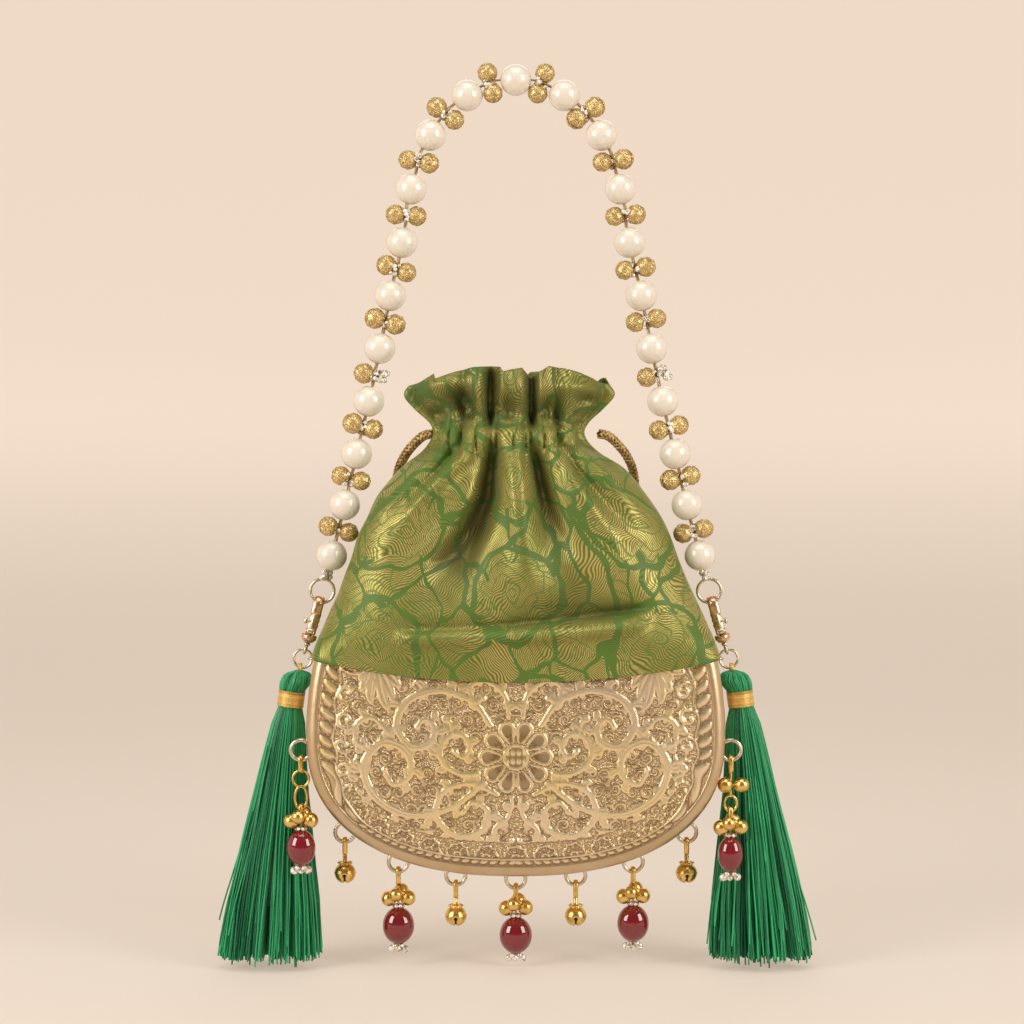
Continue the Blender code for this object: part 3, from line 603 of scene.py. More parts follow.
def scatter_tree():
    """Puts a copy of Pattern on each point, with the point's own turn and size."""
    tree, given, result = tree_with(
        "scattered_copies",
        [("Pattern", "NodeSocketObject"), ("Size", "NodeSocketFloat"), ("Finish", "NodeSocketMaterial")],
    )
    nodes, links = tree.nodes, tree.links
    pattern = nodes.new("GeometryNodeObjectInfo")
    place = nodes.new("GeometryNodeInstanceOnPoints")
    real = nodes.new("GeometryNodeRealizeInstances")
    coat = nodes.new("GeometryNodeSetMaterial")
    turn = nodes.new("GeometryNodeInputNamedAttribute")
    turn.data_type = "FLOAT_VECTOR"
    turn.inputs["Name"].default_value = "turn"
    size = nodes.new("GeometryNodeInputNamedAttribute")
    size.data_type = "FLOAT"
    size.inputs["Name"].default_value = "size"
    scale = nodes.new("ShaderNodeMath")
    scale.operation = "MULTIPLY"
    links.new(given.outputs["Geometry"], place.inputs["Points"])
    links.new(given.outputs["Pattern"], pattern.inputs["Object"])
    links.new(pattern.outputs["Geometry"], place.inputs["Instance"])
    links.new(turn.outputs["Attribute"], place.inputs["Rotation"])
    links.new(size.outputs["Attribute"], scale.inputs[0])
    links.new(given.outputs["Size"], scale.inputs[1])
    links.new(scale.outputs[0], place.inputs["Scale"])
    links.new(place.outputs["Instances"], real.inputs["Geometry"])
    links.new(real.outputs["Geometry"], coat.inputs["Geometry"])
    links.new(given.outputs["Finish"], coat.inputs["Material"])
    links.new(coat.outputs["Geometry"], result.inputs["Geometry"])
    return tree


def strand_tree():
    """Gives each line of edges a round section of Gauge with Sides sides, closed at both ends."""
    tree, given, result = tree_with(
        "strands",
        [("Gauge", "NodeSocketFloat"), ("Sides", "NodeSocketInt"), ("Finish", "NodeSocketMaterial")],
    )
    nodes, links = tree.nodes, tree.links
    lines = nodes.new("GeometryNodeMeshToCurve")
    section = nodes.new("GeometryNodeCurvePrimitiveCircle")
    sweep = nodes.new("GeometryNodeCurveToMesh")
    sweep.inputs["Fill Caps"].default_value = True
    smooth = nodes.new("GeometryNodeSetShadeSmooth")
    real = nodes.new("GeometryNodeRealizeInstances")
    coat = nodes.new("GeometryNodeSetMaterial")
    links.new(given.outputs["Geometry"], lines.inputs["Mesh"])
    links.new(lines.outputs["Curve"], sweep.inputs["Curve"])
    links.new(given.outputs["Sides"], section.inputs["Resolution"])
    links.new(given.outputs["Gauge"], section.inputs["Radius"])
    links.new(section.outputs["Curve"], sweep.inputs["Profile Curve"])
    links.new(sweep.outputs["Mesh"], smooth.inputs["Geometry"])
    links.new(smooth.outputs["Geometry"], real.inputs["Geometry"])
    links.new(real.outputs["Geometry"], coat.inputs["Geometry"])
    links.new(given.outputs["Finish"], coat.inputs["Material"])
    links.new(coat.outputs["Geometry"], result.inputs["Geometry"])
    return tree


def baked(name, mesh, tree, **values):
    """The mesh that a node tree makes from mesh, as plain mesh data."""
    holder = bpy.data.objects.new(name, mesh)
    bpy.context.scene.collection.objects.link(holder)
    modifier = holder.modifiers.new(tree.name, "NODES")
    modifier.node_group = tree
    for item in tree.interface.items_tree:
        if item.in_out == "INPUT" and item.name in values:
            modifier[item.identifier] = values[item.name]
    graph = bpy.context.evaluated_depsgraph_get()
    made = bpy.data.meshes.new_from_object(holder.evaluated_get(graph))
    bpy.data.objects.remove(holder)
    return made


def point_mesh(points, sizes, directions):
    """Loose points with the size and the turn of the copy that each carries."""
    mesh = bpy.data.meshes.new("places")
    mesh.from_pydata(np.asarray(points, float) * MM, [], [])
    turn = mesh.attributes.new("turn", "FLOAT_VECTOR", "POINT")
    euler = [Matrix(rotation_to(direction).tolist()).to_euler() for direction in directions]
    turn.data.foreach_set("vector", np.array(euler, np.float32).ravel())
    size = mesh.attributes.new("size", "FLOAT", "POINT")
    size.data.foreach_set("value", np.asarray(sizes, np.float32))
    return mesh


def scattered(name, pattern, points, sizes, directions, material):
    """Copies of the pattern shape at points, as one mesh."""
    stamp = bpy.data.objects.new(name + "_pattern", pattern.mesh(name + "_pattern", "groove"))
    bpy.context.scene.collection.objects.link(stamp)
    mesh = point_mesh(points, sizes, directions)
    made = baked(name, mesh, SCATTER, Pattern=stamp, Size=1.0, Finish=material)
    bpy.data.objects.remove(stamp)
    return made


def strands(name, lines, tones, gauge, sides, material):
    """Round threads along lines of points, one shade each."""
    points = np.concatenate(lines) * MM
    edges, first = [], 0
    for line in lines:
        edges += [(i, i + 1) for i in range(first, first + len(line) - 1)]
        first += len(line)
    mesh = bpy.data.meshes.new("lines")
    mesh.from_pydata(points, edges, [])
    layer = mesh.attributes.new("thread_tone", "FLOAT", "POINT")
    tone = np.concatenate([np.full(len(line), shade) for line, shade in zip(lines, tones)])
    layer.data.foreach_set("value", tone.astype(np.float32))
    return baked(name, mesh, STRANDS, Gauge=gauge * MM, Sides=sides, Finish=material)


# ---------------------------------------------------------------- handle strand

PEARL_RADIUS, PEARL_BORE = 7.0, 1.1
BELL_RADIUS = 4.5
SINGLE_BELL_GAP = 7  # this gap, counted from the top, has one bell and a bunch of crystals


def crinkled_bell():
    """A ghungroo of unit radius: a lumpy ball with a deep slit round its lower half and a small loop."""
    steps, rings = 40, 26
    slit = 0.075
    turns = 2 * pi * np.arange(steps) / steps
    leans = pi * (np.arange(rings + 1) / rings)
    points, grooves = [], []
    for lean in leans[1:-1]:
        for turn in turns:
            direction = np.array((sin(lean) * cos(turn), sin(lean) * sin(turn), cos(lean)))
            lump = 0.018 * sin(5 * turn + 7 * lean) + 0.014 * sin(9 * turn - 11 * lean + 1.3)
            low = 1.0 if direction[2] < 0.25 else 0.0
            depth = low * np.exp(-((direction[1] / slit) ** 2))
            points.append(direction * (1.0 + lump - 0.16 * depth))
            grooves.append(depth)
    points = [(0.0, 0.0, 1.0), *points, (0.0, 0.0, -0.86)]
    grooves = [0.0, *grooves, 1.0]
    faces = [tuple(reversed(face)) for face in grid_faces(rings - 1, steps, closed=True, first=1)]
    faces += [(0, 1 + j, 1 + (j + 1) % steps) for j in range(steps)]
    last = 1 + (rings - 2) * steps
    faces += [(last + steps, last + (j + 1) % steps, last + j) for j in range(steps)]
    bell = Shape().add(points, faces, grooves)
    return bell.add_shape(ring((0.0, 0.0, 1.04), (0, 1, 0), 0.17, 0.055, 14, 7))


def strand_frame():
    """Pearl centres from left to right, the strand's direction through each, and where it enters and leaves."""
    places = [node_centre(f"pearl_{number:02d}") for number in range(1, 22)]
    ends = [node_centre("handle_ring_left"), node_centre("handle_ring_right")]
    line = [ends[0], *places, ends[1]]
    along = [unit(after - before) for before, after in zip(line, line[2:])]
    along[0], along[-1] = unit(places[0] - ends[0]), unit(ends[1] - places[-1])
    through = PEARL_RADIUS + 0.6
    entries = [place - way * through for place, way in zip(places, along)]
    exits = [place + way * through for place, way in zip(places, along)]
    return places, along, entries, exits, ends


def make_handle(random):
    places, along, entries, exits, ends = strand_frame()
    pearl = rounded(PEARL_RADIUS, bore=PEARL_BORE, steps=40, rings=26)
    mesh = scattered("pearls", pearl, places, [1.0] * len(places), along, pearl_finish())
    piece("pearls", mesh, None, "handle", [f"pearl_{n:02d}" for n in range(1, 22)])

    middle = len(places) // 2
    bells, bell_ways, bell_sizes, seeds, seed_sizes = [], [], [], [], []
    for gap, (leave, entry) in enumerate(zip(exits, entries[1:])):
        centre, way = (leave + entry) / 2, unit(entry - leave)
        across = np.array((way[2], 0.0, -way[0]))
        from_top = gap - middle + 1 if gap >= middle else middle - gap
        outer = 1 if gap >= middle else -1
        sides = (outer,) if from_top == SINGLE_BELL_GAP else (1, -1)
        for side in sides:
            slip = random.uniform(-0.9, 0.9)
            bells.append(centre + across * side * 4.75 + way * slip + np.array((0, random.uniform(-0.8, 0.8), 0)))
            tilt = across * side * -1.0 + way * random.uniform(-0.5, 0.5)
            bell_ways.append(tilt + np.array((0.0, random.uniform(0.0, 0.7), 0.0)))
            bell_sizes.append(BELL_RADIUS * random.uniform(0.94, 1.04))
        turns = random.uniform(0, 2 * pi, 15)
        for number, turn in enumerate(turns):
            spread = random.uniform(1.7, 3.1)
            shift = random.uniform(-2.6, 2.6)
            around = across * cos(turn) * spread * 0.8 + np.array((0.0, 1.0, 0.0)) * sin(turn) * spread
            seeds.append(centre + around + way * shift)
            seed_sizes.append(random.uniform(0.85, 1.3))
        if len(sides) == 1:
            for turn in random.uniform(0, 2 * pi, 9):
                bunch = centre - across * outer * random.uniform(2.8, 5.6) + way * random.uniform(-2.6, 2.6)
                seeds.append(bunch + np.array((0.0, 1.8 * sin(turn), 0.0)))
                seed_sizes.append(random.uniform(1.2, 1.7))
    for end, place, way in zip(ends, (places[0], places[-1]), (along[0], -along[-1])):
        foot = end + way * 5.33
        for number in range(11):
            share = number / 10
            spot = foot * (1 - share) + (place - way * 7.0) * share
            offset = random.uniform(-1, 1, 3) * (1.7, 1.9, 0.8)
            seeds.append(spot + offset)
            seed_sizes.append(random.uniform(1.0, 1.55))
    bell_mesh = scattered("ghungroo", crinkled_bell(), bells, bell_sizes, bell_ways, leafed_gold_finish())
    piece("ghungroo_bells", bell_mesh, None, "handle", ["ghungroo_cord"])
    ways = random.normal(size=(len(seeds), 3))
    seed = rounded(1.0, bore=0.25, steps=12, rings=8)
    seed_mesh = scattered("seeds", seed, seeds, seed_sizes, ways, crystal_finish())
    piece("crystal_seeds", seed_mesh, None, "handle")

    line = [ends[0] + along[0] * 5.0]
    for entry, leave in zip(entries, exits):
        line += [entry, leave]
    line.append(ends[1] - along[-1] * 5.0)
    lines = []
    for turn in (0.0, 2.1, 4.2):
        path = smooth_line(line, 420)
        swing = np.arange(len(path)) * 0.35 + turn
        path = path + np.column_stack((np.cos(swing), np.sin(swing), np.zeros(len(path)))) * 0.42
        lines.append(path)
    gold = thread_finish("gold_core_thread", (0.66, 0.48, 0.22), (0.42, 0.28, 0.11), (0.14, 0.08, 0.03))
    core = strands("handle_cord", lines, (0.3, 0.6, 0.9), 0.45, 6, gold)
    piece("handle_cord", core, None, "handle")


# ---------------------------------------------------------------- rings and clasps

CHAMPAGNE = dict(light=(0.74, 0.64, 0.49), dark=(0.28, 0.20, 0.13), roughness=0.26)
ROSE_BRONZE = dict(light=(0.80, 0.52, 0.32), dark=(0.20, 0.09, 0.04), roughness=0.27)


def clasp_place(side):
    """The clasp's own frame: its origin is where it hangs on the handle ring, and local Z runs up it."""
    label = "left" if side < 0 else "right"
    upper, lower = node_centre(f"handle_ring_{label}"), node_centre(f"bag_ring_{label}")
    down = unit(lower - upper)
    turn = Vector((0, 0, 1)).rotation_difference(Vector(-down)).to_matrix()
    handle_mean = HANDLE_RING_MEAN
    contact = upper + down * handle_mean
    return np.array(turn), contact, np.linalg.norm(lower - contact) - BAG_RING_MEAN


HANDLE_RING_MEAN, HANDLE_RING_GAUGE = 5.33, 0.72
BAG_RING_MEAN, BAG_RING_GAUGE = 4.15, 0.62
HOOK_ROUND, HOOK_Y, HOOK_Z = 3.65, 0.35, -1.5
GATE_PIVOT = (-3.2, -13.4)


def make_rings():
    champagne = metal_finish("champagne_ring", **CHAMPAGNE)
    for label, _ in SIDES:
        upper = ring(node_centre(f"handle_ring_{label}"), (0, 1, 0), HANDLE_RING_MEAN, HANDLE_RING_GAUGE, 72)
        piece(
            f"handle_ring_{label}_wire", upper.mesh("ring"), champagne, "handle", [f"handle_ring_{label}"]
        )
        lower = ring(node_centre(f"bag_ring_{label}"), (0, 1, 0), BAG_RING_MEAN, BAG_RING_GAUGE, 64)
        piece(f"bag_ring_{label}_wire", lower.mesh("ring"), champagne, "bag", [f"bag_ring_{label}"])


def make_clasps():
    bronze = metal_finish("rose_bronze", bump=0.12, mark_size=520.0, wear=0.8, **ROSE_BRONZE)
    champagne = metal_finish("champagne_clasp", **CHAMPAGNE)
    for label, side in SIDES:
        turn, contact, reach = clasp_place(side)
        arc = [
            (0.0, HOOK_Y - HOOK_ROUND * cos(a), HOOK_Z + HOOK_ROUND * sin(a)) for a in np.linspace(0, pi, 9)
        ]
        spine = HOOK_Y + HOOK_ROUND
        line = [(0.0, arc[0][1], -5.0), *arc, (0.0, spine, -6.0), (0.0, spine, -11.0), (0.0, 3.0, -14.3)]
        line = smooth_line([*line, (0.0, 2.6, -16.6)], 90)
        nodes = np.array([0.0, -6.2, -8.6, -11.2])
        swell = 1.0 + 0.16 * sum(np.exp(-(((line[:, 2] - z) / 0.55) ** 2)) * (line[:, 1] > 0) for z in nodes)
        body = Shape().add_shape(wire(line, 1.08 * swell, 18, broad=2.05))
        collar = [
            (1.0, -15.0), (2.2, -14.9), (3.3, -15.2), (3.55, -15.7), (3.3, -16.3), (3.6, -16.9), (2.9, -17.6),
            (2.5, -18.4), (2.0, -18.7), (1.0, -18.7), (1.0, -15.0),
        ]
        body.add_shape(turned(collar, 36))
        for shift in (-1.75, 1.75):
            ear = rounded(1.55, steps=20, rings=12)
            body.add_shape(ear, shift=(shift, -3.1, -13.9), scale=(0.26, 0.85, 1.25))
        pin = wire([(-2.0, *GATE_PIVOT), (2.0, *GATE_PIVOT)], 0.5, 12)
        body.add_shape(pin)
        placed = Shape().add_shape(body, turn, contact)
        replaced = [f"clasp_body_{label}"]
        piece(f"clasp_hook_{label}", placed.mesh("hook"), bronze, f"clasp_{label}", replaced)

        lever_line = smooth_line([(0.0, -3.2, -12.4), (0.0, -3.62, -10.0), (0.0, -3.62, -7.4), (0.0, -3.4, -5.5)], 24)
        lever = Shape().add_shape(wire(lever_line, 0.78, 14, broad=1.15))
        lever.add_shape(wire([(-0.85, *GATE_PIVOT), (0.85, *GATE_PIVOT)], 1.25, 18))
        lever.add_shape(wire([(side * 0.6, -3.5, -9.0), (side * 3.2, -3.7, -9.2)], 0.6, 10))
        lever.add_shape(rounded(1.0, steps=18, rings=12), shift=(side * 3.2, -3.7, -9.2), scale=(0.9, 0.9, 1.5))
        placed = Shape().add_shape(lever, turn, contact)
        piece(
            f"clasp_lever_{label}", placed.mesh("lever"), champagne, f"gate_{label}", [f"clasp_gate_{label}"]
        )

        eye_mean, eye_gauge = 1.95, 0.7
        eye_z = -reach - BAG_RING_GAUGE - 0.35 - eye_gauge + eye_mean
        top = eye_z + eye_mean
        stem = [
            (0.0, -14.0), (1.1, -14.1), (1.35, -14.5), (1.0, -14.8), (0.65, -15.0), (0.65, -18.9), (1.3, -19.1),
            (1.6, -19.6), (1.4, top + 0.2), (0.9, top - 0.3), (0.0, top - 0.4),
        ]
        swivel = turned(stem, 24)
        swivel.add_shape(ring((0.0, 0.0, eye_z), (1, 0, 0), eye_mean, eye_gauge, 40, 12))
        placed = Shape().add_shape(swivel, turn, contact)
        piece(
            f"swivel_{label}", outward(placed.mesh("swivel")), champagne, "bag", [f"clasp_swivel_{label}"]
        )


# ---------------------------------------------------------------- charms


def bail_shape(pivot, drop):
    """A broad strap loop round a ring's wire, from above the pivot to drop below it."""
    half = 1.9
    upper = [(0.0, half * cos(a), half * sin(a)) for a in np.linspace(0, pi, 9)]
    lower = [(0.0, -y, -z + half - drop - 0.0) for _, y, z in upper]
    line = smooth_line([*upper, *lower], 60, closed=True)
    strap = wire(line, 0.52, 12, closed=True, broad=2.0)
    return Shape().add_shape(strap, shift=pivot)


def rope_ring(random_phase=0.0):
    """A slender twisted ring of gold wire round a pin, of unit mean radius."""
    turns = 2 * pi * np.arange(60) / 60
    line = np.column_stack((np.cos(turns), np.sin(turns), 0.12 * np.sin(6 * turns + random_phase)))
    return wire(line, 0.22, 8, closed=True)


def make_drop(name, pivot, body, ruby_node, hook_node, finishes, random):
    gold, ruby_glass, crystal = finishes
    low, high = node_box(ruby_node)
    centre, half = (low + high) / 2, (high - low) / 2
    hook = bail_shape(pivot, 6.0)
    x, y = pivot[0], pivot[1]
    hook.add_shape(wire([(x, y, pivot[2] - 5.4), (x, y, low[2] - 3.0)], 0.5, 10))
    top = high[2]
    for height in (top + 0.7,):
        hook.add_shape(rope_ring(), shift=(x, y, height), scale=(1.2, 1.2, 1.2))
    ball = 3.5
    for shift, forward, lift in ((-4.3, -0.6, 0.6), (4.3, -0.6, 0.9), (-1.0, -3.4, 2.8), (1.2, 3.0, 3.4)):
        grain = rounded(ball if abs(shift) > 1.1 else 3.1, steps=28, rings=20)
        hook.add_shape(grain, shift=(x + shift, y + forward, top + 3.3 + lift))
    small = rounded(1.45, steps=16, rings=12)
    for shift in (-1.6, 1.7):
        hook.add_shape(small, shift=(x + shift, y - 1.7, top + 6.5))
    piece(f"gold_beads_{name}", hook.mesh("hook"), gold, body, [hook_node])

    bead = rounded(half[0], half[2], bore=0.9, steps=44, rings=30)
    stone = Shape().add_shape(bead, shift=centre, scale=(1.0, half[1] / half[0], 1.0))
    piece(f"ruby_bead_{name}", stone.mesh("ruby"), ruby_glass, body, [ruby_node])

    spots, sizes = [], []
    for shift in (-3.1, -0.2, 3.0):
        spots.append((x + shift, y + random.uniform(-0.6, 0.6), low[2] - 1.7 - random.uniform(0, 0.5)))
        sizes.append(random.uniform(1.65, 1.95))
    for shift in (-1.7, 1.6):
        spots.append((x + shift, y - 1.1, low[2] - 0.6))
        sizes.append(1.2)
    for turn in np.linspace(0, 2 * pi, 7)[:-1]:
        spots.append((x + 1.9 * cos(turn), y + 1.9 * sin(turn), top + 0.5))
        sizes.append(0.95)
    seed = rounded(1.0, bore=0.2, steps=14, rings=10)
    ways = random.normal(size=(len(spots), 3))
    mesh = scattered("seeds", seed, spots, sizes, ways, crystal)
    piece(f"seed_beads_{name}", mesh, None, body)


def make_bell(number, pivot, body, gold):
    """A little cast bell: crown, collar, dome with an equator bead, a slit and two round holes."""
    bell = bail_shape(pivot, 5.6)
    steps = 48
    profile = [(0.0, -5.6), (0.9, -5.7), (1.1, -6.2), (0.9, -8.6), (1.5, -9.0), (2.6, -9.1), (2.9, -9.5)]
    profile += [(2.6, -9.9)]
    radius, middle = 5.0, -14.0
    for lean in np.radians(np.arange(36, 180, 4.5)):
        swell = 0.22 * np.exp(-(((lean - radians(88)) / 0.07) ** 2))
        profile.append(((radius - 0.15 + swell) * sin(lean), middle + radius * 0.94 * cos(lean)))
    profile.append((0.0, middle - radius * 0.94))
    dome = turned(profile, steps)
    points = dome.points[0]
    offset = points - (0.0, 0.0, middle)
    low = offset[:, 2] < -0.3
    slit = np.exp(-((offset[:, 0] / 0.5) ** 2)) * low
    holes = sum(np.exp(-((offset[:, 0] - side * 0.0) ** 2 + (offset[:, 2] + 0.9) ** 2) / 1.1) for side in (1,))
    groove = np.clip(np.maximum(slit, holes * (np.abs(offset[:, 1]) > 2.0)), 0, 1)
    dome.points[0] = points - offset * (groove * 0.16)[:, None]
    dome.values[0] = groove
    teeth = turned([(0.55, 0.3), (0.75, 0.0), (0.45, -0.5), (0.0, -0.6)], 10)
    for turn in np.linspace(0, 2 * pi, 9)[:-1]:
        bell.add_shape(teeth, shift=pivot + np.array((2.75 * cos(turn), 2.75 * sin(turn), -9.3)))
    bell.add_shape(dome, shift=pivot)
    mesh = outward(bell.mesh("bell", "groove"))
    piece(f"little_bell_{number}", mesh, gold, body, [f"bell_{number}"])


def bell_gold_finish():
    """Polished yellow gold, nearly black down in the slits, which is painted shade."""
    finish = Finish("polished_gold", {"Metallic": 1.0})
    patches = finish.noise(300.0, 4, 0.6)
    tint = finish.blend(patches.rise(0.35, 0.7), (0.86, 0.60, 0.20), (0.62, 0.38, 0.10))
    # The slits and holes are painted nearly black: painted shade.
    finish.feed("Base Color", finish.blend(finish.attribute("groove").rise(0.15, 0.75), tint, (0.03, 0.015, 0.006)))
    finish.feed("Roughness", patches * 0.2 + 0.17)
    finish.bump(finish.noise(900.0, 3), 0.04)
    return finish.material


def chain_shape(label):
    """The links between a side ring and its ruby drop."""
    top = pivot_of(f"chain_swing_{label}")
    end = pivot_of(f"side_drop_swing_{label}")
    x, y = top[0], top[1]
    chain = bail_shape(top, 5.4)
    middle, half = (top[2] - 4.6 + end[2]) / 2, (top[2] - 4.6 - end[2]) / 2
    turns = np.linspace(0, 2 * pi, 41)[:-1]

    def link(z, wide, tall, gauge=0.58):
        line = np.column_stack((wide * np.cos(turns), 0 * turns, tall * np.sin(turns)))
        chain.add_shape(wire(line, gauge, 10, closed=True), shift=(x, y, z))

    if label == "left":
        link(middle + half - 3.7, 3.6, 3.7)
        tall = (2 * half - 7.4) / 2
        link(end[2] + tall, 2.7, tall + 0.35)
        return chain
    link(end[2] + 3.6, 2.7, 3.6)
    chain.add_shape(wire([(x, y, top[2] - 4.8), (x, y, end[2] + 6.9)], 0.6, 10))
    for shift, radius in ((-2.4, 3.5), (4.9, 3.45)):
        chain.add_shape(rounded(radius, steps=28, rings=20), shift=(x + shift, y, -314.2))
    chain.add_shape(wire([(x - 1.0, y, -314.2), (x + 3.0, y, -314.2)], 0.6, 10))
    return chain


def make_charms(random):
    gold = bell_gold_finish()
    ruby = glass_finish("ruby_glass", (0.17, 0.001, 0.006), (0.04, 0.0, 0.002), 0.5)
    crystal = crystal_finish()
    finishes = (gold, ruby, crystal)
    for name in "123":
        make_drop(name, pivot_of(f"drop_swing_{name}"), f"drop_{name}", f"ruby_{name}", f"drop_hook_{name}", finishes, random)
    for label, _ in SIDES:
        chain = chain_shape(label)
        piece(f"chain_{label}_links", chain.mesh("chain"), gold, f"chain_{label}", [f"side_chain_{label}"])
        pivot = pivot_of(f"side_drop_swing_{label}")
        make_drop(label, pivot, f"side_drop_{label}", f"ruby_{label}", f"drop_hook_{label}", finishes, random)
    for number in range(1, 5):
        make_bell(number, pivot_of(f"bell_swing_{number}"), f"bell_{number}", gold)


# ---------------------------------------------------------------- tassels

# Sections on the side at +X from head to skirt: height, centre x, half width, half depth.
TASSEL_HEAD = [
    (-264.9, 97.9, 1.5, 1.5), (-265.6, 98.1, 4.4, 4.2), (-267.2, 98.5, 6.3, 5.9), (-269.6, 99.0, 7.0, 6.7),
    (-272.0, 100.1, 6.4, 6.1), (-274.2, 100.8, 5.2, 5.0), (-281.6, 101.9, 5.3, 5.0),
]
TASSEL_SKIRT = [
    (-281.4, 101.9, 5.0, 4.8), (-284.0, 102.2, 6.7, 6.2), (-300.0, 104.0, 9.2, 7.8), (-320.0, 106.0, 12.0, 9.4),
    (-345.0, 108.0, 16.4, 11.4), (-370.0, 109.8, 20.4, 13.4), (-392.0, 111.2, 22.6, 14.4),
]
SKIRT_THREADS = 1150


def sections_at(sections, heights):
    """Centre x, half width and half depth of the tassel at each height."""
    table = np.array(sections)[::-1]
    return [np.interp(heights, table[:, 0], table[:, column]) for column in (1, 2, 3)]


def skirt_lines(side, random):
    lines, tones = [], []
    clumps = random.uniform(0, 2 * pi, 46)
    for _ in range(SKIRT_THREADS):
        turn = random.uniform(0, 2 * pi)
        spread = sqrt(random.uniform(0.30, 1.0)) if random.uniform() < 0.75 else random.uniform(0.0, 0.8)
        clump = clumps[np.argmin(np.abs(np.angle(np.exp(1j * (clumps - turn)))))]
        low = -391.0 + random.normal() * 1.7 - 1.8 * spread
        stray = random.uniform() < 0.035
        heights = np.linspace(-281.0, max(low + (random.uniform(4, 16) if stray else 0.0), -397.3), 15)
        share = (heights - heights[0]) / (heights[-1] - heights[0])
        centre, wide, deep = sections_at(TASSEL_SKIRT, heights)
        pull = turn + np.angle(np.exp(1j * (clump - turn))) * 0.55 * share
        out = spread + random.uniform(-0.05, 0.06) * share + (0.16 * share**3 if stray else 0.0)
        wave = random.uniform(0.1, 0.5) * np.sin(share * random.uniform(5, 13) + random.uniform(0, 6)) * (0.3 + share)
        x = side * centre + wide * out * np.cos(pull) + wave
        y = deep * out * np.sin(pull) + wave * random.uniform(-1, 1)
        lines.append(np.column_stack((x, y, heights)))
        # Threads nearer the middle of the skirt get darker tones: painted shade inside the tassel.
        tones.append(random.uniform(0.12, 0.95) * (0.55 + 0.45 * spread))
    return lines, tones


def head_lines(side, random):
    lines, tones = [], []
    count = 96
    for number in range(count):
        turn = 2 * pi * number / count + random.uniform(-0.02, 0.02)
        heights = np.linspace(-264.9, -281.2, 16)
        centre, wide, deep = sections_at(TASSEL_HEAD, heights)
        twist = turn + 0.10 * np.sin(np.linspace(0, 3, 16) + random.uniform(0, 6))
        x = side * centre + wide * np.cos(twist)
        lines.append(np.column_stack((x, deep * np.sin(twist), heights)))
        tones.append(random.uniform(0.25, 0.9))
    return lines, tones


def core_shape(side, sections, scale):
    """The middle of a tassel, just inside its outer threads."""
    turns = 2 * pi * np.arange(28) / 28
    rows = [
        np.column_stack((side * x + wide * scale * np.cos(turns), deep * scale * np.sin(turns), 0 * turns + z))
        for z, x, wide, deep in sections
    ]
    faces = [tuple(reversed(f)) for f in grid_faces(len(rows), 28, closed=True)]
    first = (len(rows) - 1) * 28
    faces += [tuple(range(28)), tuple(reversed(range(first, first + 28)))]
    # The core takes a dark thread tone: painted shade deep inside the tassel.
    return Shape().add(np.concatenate(rows), faces, 0.12)


def joined_mesh(name, meshes):
    """Several meshes as one, with the first one's material and attributes."""
    parts = []
    for mesh in meshes:
        part = bpy.data.objects.new(name, mesh)
        bpy.context.scene.collection.objects.link(part)
        parts.append(part)
    with bpy.context.temp_override(active_object=parts[0], selected_editable_objects=parts):
        bpy.ops.object.join()
    made = parts[0].data.copy()
    bpy.data.objects.remove(parts[0])
    return made


